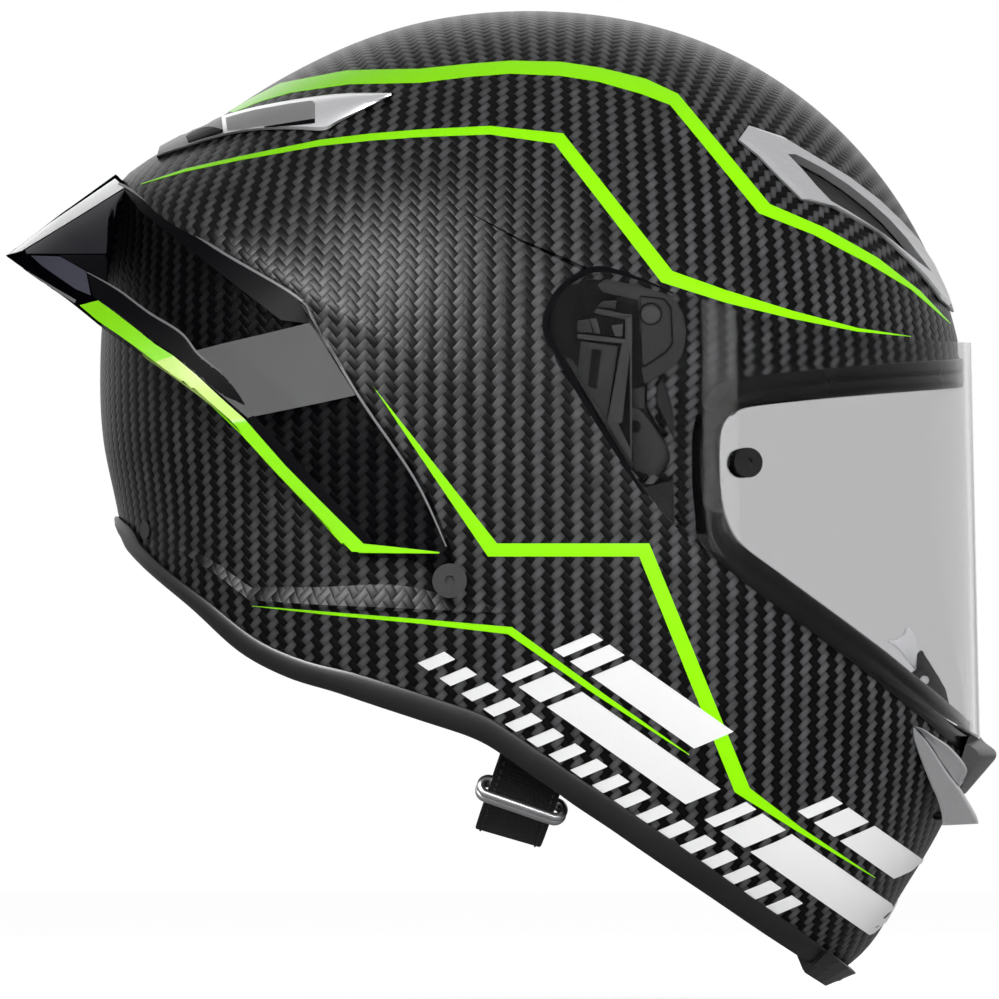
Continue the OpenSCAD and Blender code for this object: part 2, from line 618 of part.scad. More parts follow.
module chin_vent_cover() {
    section = [[149.2, -108.2], [150.4, -107], [156, -110.5], [145, -124.5], [143.5, -121.5]];
    rings = [for (y = [-34 : 8.5 : 34]) let (back = 3.2 * pow(y / 34, 2), lower = 0.25 * abs(y) / 34)
        [for (p = turned(section)) [p[0] - back - (p[0] > 150 ? lower * 14 : 0), y, p[1]]]];
    color(black) on_shell() swept(rings);
}

module pivot_base_left() {
    color(black) difference() {
        union() {
            across(bay_floor, bay_floor + base_t) bay_shape(-seat_gap);
            across(bay_floor, deck_top) polygon(deck_outline);
            across(bay_floor, lever_high) translate(lever_pin) circle(r = 2, $fn = 48);
        }
        across() translate(pivot) circle(r = lug_r + running_gap, $fn = 64);
        across(bay_floor + base_t - 1, far) translate([35, -6]) circle(r = 2.4, $fn = 48);
        across(bay_floor + base_t - 1, far) translate([8, 34]) circle(r = 2.4, $fn = 48);
    }
}
module pivot_base_right() {
    mirror([0, 1, 0]) pivot_base_left();
}
module pivot_base_screws() {
    color(silver) both_sides() for (at = [[35, -6], [8, 34]]) difference() {
        across(bay_floor + base_t - 1, bay_floor + base_t + 0.1) translate(at) circle(r = 2.3, $fn = 48);
        across(bay_floor + base_t - 0.5, far) translate(at) circle(r = 1, $fn = 6);
    }
}

lever_outline = [[9.5, 50], [19.5, 50.4], [19.5, 44.4], [26.4, 44.4], [27.2, 43], [28.3, -4], [26, -5], [11, 17], [7.5, 41]];
lever_windows = [
    [[14, 33.5], [21.5, 33.5], [17, 14], [13.4, 19.5], [11.2, 31]],
    [[23.6, 31], [25.6, 31], [26.4, 1], [25.6, 0.4], [19.6, 10]]
];
module release_lever_left() {
    color(black) difference() {
        across(lever_low, lever_high) polygon(lever_outline);
        across() translate(lever_pin) circle(r = 2 + running_gap, $fn = 48);
        for (window = lever_windows) across() polygon(window);
    }
}
module release_lever_right() {
    mirror([0, 1, 0]) release_lever_left();
}

// The visor's inner line in the plan view, from its back to the front
function soft_min(a, b) = a < 0.9 * b ? a : b * pow(1 + pow(b / a, 150), -1 / 150);
function visor_plan(turn) = [visor_front * pow(sin(turn), 2 / visor_round),
    soft_min(visor_flank * pow(cos(turn), 2 / visor_round), visor_half_w)];
visor_half = concat([[-6, visor_half_w]], [for (turn = [10 : 3.2 : 87]) visor_plan(turn)]);
visor_line = concat(visor_half, [[visor_front, 0]],
    [for (i = [len(visor_half) - 1 : -1 : 0]) [visor_half[i][0], -visor_half[i][1]]]);
function line_normal(line, i) =
    let (a = line[max(i - 1, 0)], b = line[min(i + 1, len(line) - 1)], s = (b - a) / norm(b - a)) [-s[1], s[0]];
visor_outside = [for (i = [0 : len(visor_line) - 1]) visor_line[i] + visor_t * line_normal(visor_line, i)];

// Leans what stands upright, so that the visor's front follows the face
module leaned() {
    translate([pivot[0], 0, pivot[1]]) rotate([0, -visor_lean, 0]) translate([-pivot[0], 0, -pivot[1]]) children();
}

module visor() {
    last = len(visor_line) - 1;
    color(clear) difference() {
        union() {
            intersection() {
                leaned() translate([0, 0, -far / 2]) linear_extrude(far)
                    polygon(concat(visor_outside, [for (i = [last : -1 : 0]) visor_line[i]]));
                across() polygon(visor_outline);
            }
            both_sides() across(bay_floor + 1.5, visor_half_w + visor_t / 2)
                translate(pivot) circle(r = lug_r, $fn = 64);
        }
    }
}

module tear_off_post_left() {
    way = visor_plan(post_turn + 2) - visor_plan(post_turn - 2);
    tilt = atan2(way[1], way[0]);
    seat = visor_plan(post_turn) + (visor_t + 0.1) * [-sin(tilt), cos(tilt)];
    color(black) leaned() translate([seat[0], seat[1], post_z]) rotate([0, 0, tilt]) rotate([-90, 0, 0]) difference() {
        cylinder(h = post_h, r = post_r, $fn = 64);
        translate([0, 0, post_h - 1.2]) cylinder(h = 3, r = 1.8, $fn = 6);
    }
}
module tear_off_post_right() {
    mirror([0, 1, 0]) tear_off_post_left();
}

module visor_lock_base() {
    outline = [
        [122.9, -87.8], [136.8, -99.2], [140.4, -102.1], [140.4, -96], [138.3, -87], [130.2, -73.6],
        [128.4, -74.6], [128.2, -80], [125, -83.5]
    ];
    color(black) difference() {
        across(-13, 13) polygon(outline);
        across(-9.5, 9.5) translate([112, -92]) square([24, 26]);
        across() translate(lock_pin) circle(r = 1.5 + running_gap, $fn = 32);
    }
}
module visor_lock_lever() {
    outline = [
        [124.2, -66], [126, -65.8], [128, -69], [129, -74], [131.5, -78], [133.6, -82], [133.6, -86], [131, -87.4],
        [128.4, -86], [127.6, -80], [122.5, -73.5], [118, -70], [121.5, -70], [123.8, -68]
    ];
    color(silver) union() {
        across(-9, 9) polygon(outline);
        across(-12.5, 12.5) translate(lock_pin) circle(r = 1.5, $fn = 32);
    }
}

// The strap's run from the left anchor down to the middle, as [y, z]
strap_seat = half_w - 23;
strap_run = [
    [strap_seat, -76], [strap_seat, -104], [strap_seat - 4, -114], [strap_seat - 16, -123], [strap_seat - 36, -131],
    [42, -136.5], [16, -139], [0, -139.5]
];
strap_middle = -8;
strap_pivot = [-8, -72];
strap_slot = [[-22, -58], [6, -58], [20, -84], [30, -130], [-40, -130], [-26, -84]];
strap_flare = [[-30, -98], [26, -98], [34, -135], [-42, -135]];
snap_r = 6;
module strap_sheet(w, t) {
    half = concat(strap_run, [for (i = [len(strap_run) - 2 : -1 : 0]) [-strap_run[i][0], strap_run[i][1]]]);
    inner = [for (i = [0 : len(half) - 1]) half[i] + t / 2 * line_normal(half, i)];
    outer = [for (i = [0 : len(half) - 1]) half[i] - t / 2 * line_normal(half, i)];
    translate([strap_middle - w / 2, 0, 0]) rotate([90, 0, 90]) linear_extrude(w)
        polygon(concat(inner, [for (i = [len(outer) - 1 : -1 : 0]) outer[i]]));
}
module chin_strap() {
    color(cloth) difference() {
        union() {
            strap_sheet(strap_w, strap_t);
            both_sides() across(strap_seat - strap_t / 2, strap_seat + strap_t / 2) translate(strap_pivot)
                circle(r = strap_w / 2, $fn = 48);
        }
        across() translate(strap_pivot) circle(r = 3 + running_gap, $fn = 48);
    }
}
module strap_anchors() {
    color(silver) both_sides() {
        across(strap_seat - 2.6, half_width(strap_pivot, -shell_wall) - 1.6)
            translate(strap_pivot) circle(r = 3, $fn = 48);
        across(strap_seat - 2.6, strap_seat - 1.4) translate(strap_pivot) circle(r = 6, $fn = 48);
        across(strap_seat + 1.4, strap_seat + 3) translate(strap_pivot) circle(r = 9, $fn = 48);
    }
}

// Lays what stands on the plan's origin on the strap at a place along its right half
function strap_at(i, u) = strap_run[i] * (1 - u) + strap_run[i + 1] * u;
module on_strap(i, u) {
    at = strap_at(i, u);
    way = strap_run[i + 1] - strap_run[i];
    translate([strap_middle, -at[0], at[1]]) rotate([atan2(way[1], way[0]) * -1, 0, 0]) children();
}

module strap_ring() {
    reach = strap_w / 2 + seat_gap;
    rise = strap_t / 2 + seat_gap + ring_wire / 2;
    for (side = [-1, 1]) {
        translate([side * reach, 0, 0]) rotate([90, 0, 0]) rotate([0, 0, side > 0 ? -90 : 90])
            rotate_extrude(angle = 180, $fn = 48) translate([rise, 0]) circle(d = ring_wire, $fn = 24);
        translate([-reach, 0, side * rise]) rotate([0, 90, 0]) cylinder(h = 2 * reach, d = ring_wire, $fn = 24);
    }
}
module d_rings() {
    color(silver) for (u = [0.25, 0.45]) on_strap(3, u) strap_ring();
}
module strap_snap() {
    color(silver) on_strap(4, 0.5) translate([0, 0, -strap_t / 2 - 1.6]) cylinder(h = 1.5, r = snap_r, $fn = 48);
}

outer_shell();
impact_liner();
chin_liner();
crown_liner();
cheek_pad_right();
cheek_pad_left();
neck_roll();
rim_trim();
rim_front_cap();
port_seal();
spoiler();
spoiler_screws();
rear_plugs();
crown_vent_frame_right();
crown_vent_frame_left();
crown_vent_grille_right();
crown_vent_grille_left();
rear_vent_frame();
rear_vent_grilles();
chin_vent_fin_right();
chin_vent_fin_left();
chin_vent_cover();
pivot_base_right();
pivot_base_left();
pivot_base_screws();
release_lever_right();
release_lever_left();
visor();
tear_off_post_right();
tear_off_post_left();
visor_lock_base();
visor_lock_lever();
chin_strap();
strap_anchors();
d_rings();
strap_snap();
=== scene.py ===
# Full face helmet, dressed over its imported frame. Lengths in the tables are millimetres.
import math

import bmesh
import bpy
import numpy as np
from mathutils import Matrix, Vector
from mathutils.bvhtree import BVHTree


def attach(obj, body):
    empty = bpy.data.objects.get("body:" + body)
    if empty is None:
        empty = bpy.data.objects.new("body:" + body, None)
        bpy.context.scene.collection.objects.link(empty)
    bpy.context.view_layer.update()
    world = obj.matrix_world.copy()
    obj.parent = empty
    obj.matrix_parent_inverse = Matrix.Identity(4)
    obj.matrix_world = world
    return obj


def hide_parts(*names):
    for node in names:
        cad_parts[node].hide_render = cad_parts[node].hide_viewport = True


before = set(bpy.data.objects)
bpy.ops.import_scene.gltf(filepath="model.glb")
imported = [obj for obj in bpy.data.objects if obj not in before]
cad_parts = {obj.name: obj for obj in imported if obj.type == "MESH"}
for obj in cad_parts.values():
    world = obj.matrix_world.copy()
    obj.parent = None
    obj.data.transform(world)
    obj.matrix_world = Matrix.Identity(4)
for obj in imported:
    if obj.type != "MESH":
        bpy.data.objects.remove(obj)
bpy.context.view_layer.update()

mm = 0.001
mirror = np.array([1, -1, 1])
sides = (False, True)  # whether a piece is the left one
scene = bpy.context.scene
scene.view_settings.view_transform = "Standard"

# The shell's face: side outline as [angle, distance], rounding towards the flanks as [angle, exponent]
shell = {
    "halfWidth": 125.0,
    "wall": 3.5,
    "outline": [
        [-166, 154], [-150, 164], [-130, 181], [-110, 196], [-90, 204], [-75, 210], [-64, 212], [-58.4, 210],
        [-52, 200.5], [-44.5, 192.3], [-39.3, 187], [-34.9, 178.5], [-28, 166], [-20, 155.5], [-10, 148], [0, 145.3],
        [13, 146.8], [30, 147.5], [60, 149], [90, 150], [110, 153.5], [126, 157.3], [138, 163], [146, 172.5],
        [149, 175], [153, 170], [160, 165], [170, 159.8], [180, 156.3], [188, 153.5],
    ],
    "rounding": [[-150, 2.5], [-90, 2.4], [-45, 2.2], [0, 2.2], [60, 2.26], [90, 2.32], [140, 2.45]],
    "rim": [
        [-184, 205], [-176, 176], [-168.4, 154.5], [-165.3, 151.5], [-155, 137.4], [-145, 129.4], [-138, 122.4],
        [-130, 114], [-120, 108.2], [-110, 105.9], [-103, 106.8], [-97, 111.4], [-92, 117.4], [-88.4, 122.5],
        [-80, 138.7], [-72, 162.4], [-66, 189.1], [-61.6, 216.8], [-56, 270],
    ],
    "lift": [[-184, 0.6], [-160, 0.65], [-135, 1], [-100, 1], [-85, 1.25], [-72, 1.6], [-56, 1.9]],
    "bayFloor": 112.0,
    "seatHalfWidth": 117.4,
    "outside": (300, 132), "inside": (120, 48), "limit": (150, 64),
    "rimCut": 3.2, "portCut": 7.15, "bayWall": 3, "bayDepth": 0.4, "crownHole": 0.47, "visorGap": 0.8,
    "slots": (-113, -119, -125, -131), "slotAt": 24, "slotHalf": (10, 1.8), "slotDepth": (125, 175),
    "windowGap": 0.3, "seatSteps": 4, "meanReach": 140,
    "crease": [[452, 206, 0.05], [520, 241, 0.9], [590, 271, 1.9]], "creaseDepth": 1.4,
}
beyond, aside = 400, 200  # how far cutters reach past the helmet in the side view and to either side


def photo(x, y):  # a place of the side view, given where the photograph shows it
    return [(x - 550) * 0.35, (440 - y) * 0.35]


def edgesOf(rows):  # the two edges of a band, from rows of [x, y, x, y] in pixels
    p = (np.array(rows, float).reshape(-1, 2, 2) - [550, 440]) * [0.35, -0.35]
    return p[:, 0], p[:, 1]


def around(rows):
    rows = np.array(rows, float)
    return np.vstack([rows - [360, 0], rows, rows + [360, 0]])


def smooth(rows, x):  # a smooth curve through a table's rows
    rows = np.asarray(rows, float)
    x = np.asarray(x, float)
    i = np.clip(np.searchsorted(rows[:, 0], x, side="right") - 1, 0, len(rows) - 2)
    low = np.maximum(np.arange(len(rows)) - 1, 0)
    high = np.minimum(np.arange(len(rows)) + 1, len(rows) - 1)
    slope = (rows[high, 1] - rows[low, 1]) / (rows[high, 0] - rows[low, 0])
    step = rows[i + 1, 0] - rows[i, 0]
    u = (x - rows[i, 0]) / step
    a, b, rise = slope[i] * step, slope[i + 1] * step, rows[i + 1, 1] - rows[i, 1]
    return rows[i, 1] + u * (a + u * (3 * rise - 2 * a - b + u * (a + b - 2 * rise)))


outlineTable = around(shell["outline"])
roundTable = around(shell["rounding"])


def reach(angle):
    return smooth(outlineTable, angle)


def rounding(angle):
    return smooth(roundTable, angle)


def angleAt(p):  # the angle at which the side view shows [x, z] or [x, y, z]
    p = np.asarray(p, float)
    return np.degrees(np.arctan2(p[..., -1], p[..., 0]))


def facePoint(angle, turn, d=0.0):  # turn runs from the right flank through the outline to the left
    n = rounding(angle)
    t = np.radians(turn)
    out = np.abs(np.sin(t)) ** (2 / n) * (reach(angle) + d)
    side = np.abs(np.cos(t)) ** (2 / n) * (shell["halfWidth"] + d) * np.where(np.asarray(turn) < 90, -1, 1)
    a = np.radians(angle)
    return np.stack([out * np.cos(a), side, out * np.sin(a)], -1)


def onFace(at, d=0.0, left=False):  # the flank's point that the side view shows at [x, z]
    at = np.asarray(at, float)
    angle = angleAt(at)
    share = np.minimum(np.hypot(at[..., 0], at[..., 1]) / reach(angle), 1)
    p = facePoint(angle, np.degrees(np.arcsin(share ** (rounding(angle) / 2))), d)
    return p * mirror if left else p


def seenAt(at, d, left=False):  # the place at height d over the face that the side view shows at [x, z]
    far = reach(angleAt(at))
    return onFace(np.asarray(at, float) * (far / (far + d)), d, left)


def level(p):  # 1 on the face, less within it
    angle = angleAt(p)
    n = rounding(angle)
    return (np.hypot(p[:, 0], p[:, 2]) / reach(angle)) ** n + (np.abs(p[:, 1]) / shell["halfWidth"]) ** n


def faceNormal(p):
    grad = np.stack([level(p + e) - level(p - e) for e in np.eye(3) * 0.05], -1)
    return grad / np.maximum(np.linalg.norm(grad, axis=1, keepdims=True), 1e-9)


def rimDistance(angle, lift):
    return smooth(shell["rim"], angle) - lift * smooth(shell["lift"], angle)


def rimEnd(lift, inner, outer):
    for _ in range(20):
        middle = (inner + outer) / 2
        if rimDistance(middle, lift) > reach(middle):
            outer = middle
        else:
            inner = middle
    return (inner + outer) / 2


def rimRing(profile, u):  # a profile of [lift, d] on the right flank, u from the back to the chin
    points = []
    for lift, d in profile:
        back, front = rimEnd(lift, -150, -184), rimEnd(lift, -80, -56)
        angle = (back + front) / 2 - (front - back) / 2 * math.cos(math.pi * u)
        share = min(rimDistance(angle, lift) / reach(angle), 1) if 0 < u < 1 else 1
        turn = math.degrees(math.asin(share ** (rounding(angle) / 2)))
        points.append(facePoint(angle, turn, d))
    return np.array(points)


def otherSide(rings):
    return [ring * mirror for ring in reversed(rings)]


# Meshes
def placed(name, data):
    made = bpy.data.objects.new(name, data)
    scene.collection.objects.link(made)
    return made


def coat(mesh, material):
    mesh.materials.clear()
    mesh.materials.append(material)


def valuesOf(rows, what, width=3, kind=float):  # a mesh's vertices, corners or normals as an array
    found = np.zeros(len(rows) * width, kind)
    rows.foreach_get(what, found)
    return found.reshape(-1, width)


def makeObject(name, points, faces, material=None, edges=()):
    mesh = bpy.data.meshes.new(name)
    mesh.from_pydata([Vector(p) * mm for p in points], edges, [list(f) for f in faces])
    mesh.validate()
    if material:
        coat(mesh, material)
    return placed(name, mesh)


def loft(name, rings, closed=False, material=None):  # rings of points, joined round a loop or capped
    count, rows = len(rings[0]), len(rings)
    points = np.concatenate(rings)
    faces = []
    for r in range(rows if closed else rows - 1):
        a, b = r * count, (r + 1) % rows * count
        for i in range(count):
            j = (i + 1) % count
            faces.append((a + i, a + j, b + j, b + i))
    if not closed:
        faces.append(range(count - 1, -1, -1))
        faces.append(range((rows - 1) * count, rows * count))
    piece = makeObject(name, points, faces, material)
    outwards(piece)
    return piece


def outwards(piece, source=None):  # joins the points of a mesh and turns its faces outwards
    bm = bmesh.new()
    bm.from_mesh(source or piece.data)
    bmesh.ops.remove_doubles(bm, verts=bm.verts, dist=1e-6)
    bmesh.ops.recalc_face_normals(bm, faces=bm.faces)
    if bm.calc_volume(signed=True) < 0:
        bmesh.ops.reverse_faces(bm, faces=bm.faces)
    bm.to_mesh(piece.data)
    bm.free()


def body(name, d, aroundCount, acrossCount):
    angles = np.linspace(-180, 180, aroundCount, endpoint=False)
    rings = [facePoint(angles, np.full(aroundCount, 180 * k / acrossCount), d) for k in range(1, acrossCount)]
    points = np.vstack([[[0, -shell["halfWidth"] - d, 0]], *rings, [[0, shell["halfWidth"] + d, 0]]])
    last = len(points) - 1
    faces = []
    for i in range(aroundCount):
        j = (i + 1) % aroundCount
        faces.append((0, 1 + i, 1 + j))
        faces.append((last, last - aroundCount + j, last - aroundCount + i))
    for r in range(acrossCount - 2):
        a, b = 1 + r * aroundCount, 1 + (r + 1) * aroundCount
        faces += [(a + i, b + i, b + (i + 1) % aroundCount, a + (i + 1) % aroundCount) for i in range(aroundCount)]
    piece = makeObject(name, points, faces)
    outwards(piece)
    return piece


def prism(outline, fromY, toY):  # a drawing of the side view carried through the width
    rings = [np.array([[x, y, z] for x, z in outline]) for y in (fromY, toY)]
    return loft("cutter", rings)


def curved(points, steps=6, closed=False):  # a round curve through points
    p = np.array(points, float)
    n = len(p)
    made = []
    for i in range(n if closed else n - 1):
        if closed:
            a, b, c, d = p[i - 1], p[i], p[(i + 1) % n], p[(i + 2) % n]
        else:
            a, b, c, d = p[max(i - 1, 0)], p[i], p[i + 1], p[min(i + 2, n - 1)]
        for k in range(steps):
            t = k / steps
            made.append(0.5 * (2 * b + (c - a) * t + (2 * a - 5 * b + 4 * c - d) * t**2 + (3 * b - a - 3 * c + d) * t**3))
    if not closed:
        made.append(p[-1])
    return np.array(made)


def oval(centre, radii, count=48):
    turns = np.linspace(0, 2 * math.pi, count, endpoint=False)
    return [(centre[0] + radii[0] * math.cos(a), centre[1] + radii[1] * math.sin(a)) for a in turns]


def rounded(points, radius, steps=6):  # a closed outline with its corners rounded
    p = np.array(points, float)
    made = []
    for i in range(len(p)):
        a, b, c = p[i - 1], p[i], p[(i + 1) % len(p)]
        back = min(radius, np.linalg.norm(a - b) * 0.45)
        ahead = min(radius, np.linalg.norm(c - b) * 0.45)
        start, end = b + (a - b) / np.linalg.norm(a - b) * back, b + (c - b) / np.linalg.norm(c - b) * ahead
        for k in range(steps + 1):
            t = k / steps
            made.append((1 - t) ** 2 * start + 2 * t * (1 - t) * b + t**2 * end)
    return np.array(made)


def cut(piece, cutters, operation="DIFFERENCE"):
    for cutter in cutters:
        step = piece.modifiers.new("cut", "BOOLEAN")
        step.operation, step.solver, step.object = operation, "MANIFOLD", cutter
        applyAll(piece)
        bpy.data.objects.remove(cutter)
    return piece


def applyAll(piece):
    ready = piece.evaluated_get(bpy.context.evaluated_depsgraph_get())
    mesh = bpy.data.meshes.new_from_object(ready)
    mesh.name = piece.name
    piece.modifiers.clear()
    piece.data = mesh


def shade(piece, angle=35):
    piece.data.shade_smooth()
    piece.data.set_sharp_from_angle(angle=math.radians(angle))


def keep(piece, bodyName, slotName, *nodes):
    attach(piece, bodyName)
    if nodes:
        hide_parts(*nodes)
    return piece


def sided(name, left):
    return name + ("Left" if left else "Right")


def dressed(name, rings, material, angle, *where, closed=False):  # a loft, shaded and kept
    piece = loft(name, rings, closed, material)
    shade(piece, angle)
    return keep(piece, *where)


# Materials
def newMaterial(name, color, rough, **more):
    material = bpy.data.materials.new(name)
    material.use_nodes = True
    shader = material.node_tree.nodes["Principled BSDF"]
    names = {
        "metal": "Metallic", "specular": "Specular IOR Level", "transmission": "Transmission Weight", "ior": "IOR",
        "alpha": "Alpha", "sheen": "Sheen Weight", "sheenRough": "Sheen Roughness",
    }
    shader.inputs["Base Color"].default_value = (*color, 1)
    shader.inputs["Roughness"].default_value = rough
    for key, value in more.items():
        shader.inputs[names[key]].default_value = value
    return material


def addNode(owner, kind, settings=None, **sockets):  # in a material, a world or a node tree
    tree = getattr(owner, "node_tree", owner)
    node = tree.nodes.new(kind)
    for key, value in (settings or {}).items():
        setattr(node, key, value)
    for key, value in sockets.items():
        socket = node.inputs[int(key[1:]) if key[1:].isdigit() else key]
        if isinstance(value, bpy.types.NodeSocket):
            tree.links.new(value, socket)
        else:
            socket.default_value = value
    return node


def calc(owner, operation, a, b=0.0):
    return addNode(owner, "ShaderNodeMath", {"operation": operation}, s0=a, s1=b).outputs[0]


def sums(owner):  # the owner's four sums as plain functions
    def named(operation):
        def reckon(a, b):
            return calc(owner, operation, a, b)
        return reckon
    return [named(operation) for operation in ("ADD", "SUBTRACT", "MULTIPLY", "DIVIDE")]


def objectPlace(material):
    return addNode(material, "ShaderNodeTexCoord").outputs["Object"]


def noise(material, place, scale, detail=2.0, dimensions="3D"):
    settings = {"noise_dimensions": dimensions}
    return addNode(material, "ShaderNodeTexNoise", settings, Vector=place, Scale=scale, Detail=detail).outputs[0]


def join(material, output, socketName):
    shader = material.node_tree.nodes["Principled BSDF"]
    material.node_tree.links.new(output, shader.inputs[socketName])


def tint(material, share, color, low, high):  # the colour plays between low and high times its own
    a, b = ((*[min(c * k, 1) for c in color], 1) for k in (low, high))
    join(material, addNode(material, "ShaderNodeMix", {"data_type": "RGBA"}, s0=share, s6=a, s7=b).outputs[2], "Base Color")


def addBump(material, height, distance, strength=1.0):
    bump = addNode(material, "ShaderNodeBump", None, Height=height, Distance=distance, Strength=strength)
    join(material, bump.outputs[0], "Normal")


# The weave: widths of a tow along and down the cloth in metres, its two tones (painted sheen: the warp tows are painted
# light and the weft tows dark), fibres to a tow, relief
weave = {
    "along": 0.00241, "down": 0.0028, "light": 0.112, "dark": 0.005, "fibres": 26, "depth": 0.00025, "rough": 0.36,
}


def carbonMaterial(name, specular):
    m = newMaterial(name, (0.02, 0.02, 0.02), weave["rough"], specular=specular)
    add, minus, times, over = sums(m)
    flank, crown = (addNode(m, "ShaderNodeUVMap", {"uv_map": key}).outputs[0] for key in ("weave", "crownWeave"))
    above = addNode(m, "ShaderNodeAttribute", {"attribute_name": "crown"}).outputs["Fac"]
    isCrown = calc(m, "GREATER_THAN", above)
    place = addNode(m, "ShaderNodeMix", {"data_type": "VECTOR"}, s0=isCrown, s4=flank, s5=crown).outputs[1]
    split = addNode(m, "ShaderNodeSeparateXYZ", None, Vector=place).outputs
    x, y = (over(split[k], math.sqrt(2) * weave[key]) for k, key in enumerate(("along", "down")))
    u, v = add(x, y), minus(x, y)
    partU, partV = calc(m, "FRACT", u), calc(m, "FRACT", v)
    step = calc(m, "FLOORED_MODULO", add(calc(m, "FLOOR", u), calc(m, "FLOOR", v)), 4.0)
    warp = calc(m, "LESS_THAN", step, 1.5)

    def pick(a, b):  # a where a warp tow lies on top, b where a weft tow does
        return add(times(a, warp), times(b, minus(1.0, warp)))

    along = pick(add(step, partU), add(minus(step, 2.0), partV))
    across = pick(partV, partU)
    arch = calc(m, "MAXIMUM", calc(m, "SINE", times(along, math.pi / 2)))
    barrel = calc(m, "POWER", calc(m, "SINE", times(across, math.pi)), 0.5)
    shape = times(calc(m, "POWER", arch, 0.6), barrel)
    # Fibres lie along each tow
    lines = addNode(m, "ShaderNodeCombineXYZ", None, X=times(pick(v, u), weave["fibres"]), Y=pick(u, v)).outputs[0]
    fibre, cloud = noise(m, lines, 1.0, dimensions="2D"), noise(m, place, 90.0, dimensions="2D")
    # The grain is darkened towards each tow's sides and ends by the tow's relief: painted shade between the tows
    tone = times(add(times(fibre, 0.7), times(cloud, 0.7)), add(times(shape, 0.65), 0.35))
    # The warp tows take the light tone and the weft tows the dark one: a painted sheen for tows that catch the light by
    # their direction
    value = times(add(times(warp, weave["light"] - weave["dark"]), weave["dark"]), tone)
    color = addNode(m, "ShaderNodeCombineColor", None, Red=value, Green=value, Blue=times(value, 1.04))
    join(m, color.outputs[0], "Base Color")
    addBump(m, shape, weave["depth"], 0.6)
    return m


def paintMaterial(name, color, rough=0.3, metal=0.0, grain=0.0):
    m = newMaterial(name, color, rough, metal=metal, specular=0.25 if metal else 0.08)
    speck = noise(m, objectPlace(m), 900.0, 3.0)
    tint(m, speck, color, 1 - grain, 1 + grain)
    addBump(m, speck, 0.00003, 0.25)
    return m


def mouldedMaterial(name, color, rough=0.45, bump=0.00006, scale=1400.0, specular=0.2):
    m = newMaterial(name, color, rough, specular=specular)
    place = objectPlace(m)
    worn = noise(m, place, 45.0, 5.0)
    tint(m, worn, color, 0.8, 1.25)
    join(m, calc(m, "ADD", calc(m, "MULTIPLY", worn, 0.12), rough - 0.06), "Roughness")
    addBump(m, noise(m, place, scale, 4.0), bump, 0.5)
    return m


def clothMaterial(name, color, pitch, bump=0.0002, sheen=0.35):
    m = newMaterial(name, color, 0.85, sheen=sheen, sheenRough=0.5, specular=0.2 * sheen)
    add, _, times, _ = sums(m)
    place = objectPlace(m)
    split = addNode(m, "ShaderNodeSeparateXYZ", None, Vector=place).outputs
    waves = [calc(m, "SINE", times(axis, 2 * math.pi / pitch)) for axis in split]
    stitch = times(add(waves[0], waves[1]), add(waves[2], 1.5))
    fluff = noise(m, place, 500.0, 5.0)
    tint(m, fluff, color, 0.55, 1.5)
    addBump(m, add(times(stitch, 0.2), fluff), bump, 0.8)
    return m


carbon = carbonMaterial("carbonTwill", 0.04)
carbonPolished = carbonMaterial("carbonPolished", 0.035)
green = paintMaterial("greenPaint", (0.305, 0.93, 0.002), 0.3, grain=0.03)
white = paintMaterial("whitePaint", (0.88, 0.88, 0.88), 0.35, grain=0.02)
silver = paintMaterial("silverSatin", (0.42, 0.42, 0.43), 0.3, metal=0.8, grain=0.08)
satinBlack = mouldedMaterial("satinBlack", (0.012, 0.012, 0.0125), 0.4)
gloss = mouldedMaterial("glossBlack", (0.004, 0.004, 0.0045), 0.14, bump=0.00002)
rubber = mouldedMaterial("sealRubber", (0.004, 0.004, 0.004), 0.25, bump=0.00002)
mechanism = mouldedMaterial("mechanismNylon", (0.009, 0.009, 0.0092), 0.42, bump=0.00005, specular=0.05)
steel = paintMaterial("satinSteel", (0.4, 0.4, 0.41), 0.3, metal=1.0, grain=0.1)
knit = clothMaterial("linerKnit", (0.02, 0.02, 0.021), 0.0022)
webbing = clothMaterial("strapWebbing", (0.008, 0.008, 0.0083), 0.0016, sheen=0.06)
foam = mouldedMaterial("beadFoam", (0.016, 0.016, 0.017), 0.8, bump=0.0004, scale=350.0)
clearTint = newMaterial("visorClear", (0.685, 0.685, 0.69), 0.0, transmission=1.0, ior=1.1)


# Smoke is see-through where it lies over the shell, and denser in the free tail
smoke = newMaterial("smokedSpoiler", (0.0015, 0.0015, 0.0025), 0.3, specular=0.0)
join(smoke, addNode(smoke, "ShaderNodeAttribute", {"attribute_name": "dense"}).outputs["Fac"], "Alpha")
print("materials ready")

# The shell's outlines in the side view, as [x, z], both edges of the ridge as [x, z, x, z], and a stripe's in pixels
portEdge = [
    [146, 18.5], [144, 18.5], [140, 18], [131, 17.4], [117, 16.4], [100, 15], [82, 13.2], [73, 12.1], [67.5, 10.9],
    [62.5, 8.4], [59.9, 4.4], [59, -1], [59, -8], [59.5, -19], [61.5, -28], [66.5, -36.4], [80, -46.6], [95, -57.6],
    [108, -67.2], [118, -74.8], [126, -81.4], [132.5, -86.6], [138, -91.2], [142, -94.6], [145, -97], [147.5, -98.5],
]
portMiddle = np.array([147, -38])
bayOutline = [
    [14, 56.2], [21.7, 54.5], [41.3, 50.6], [47, 40.6], [47, 33.2], [34, 20.6], [33.5, 12], [38.6, 2], [42.4, -6.3],
    [39.2, -11.4], [33.2, -13], [27, -10.5], [2.2, 28], [-0.8, 36.8], [0, 45.5], [4.4, 52.6],
]
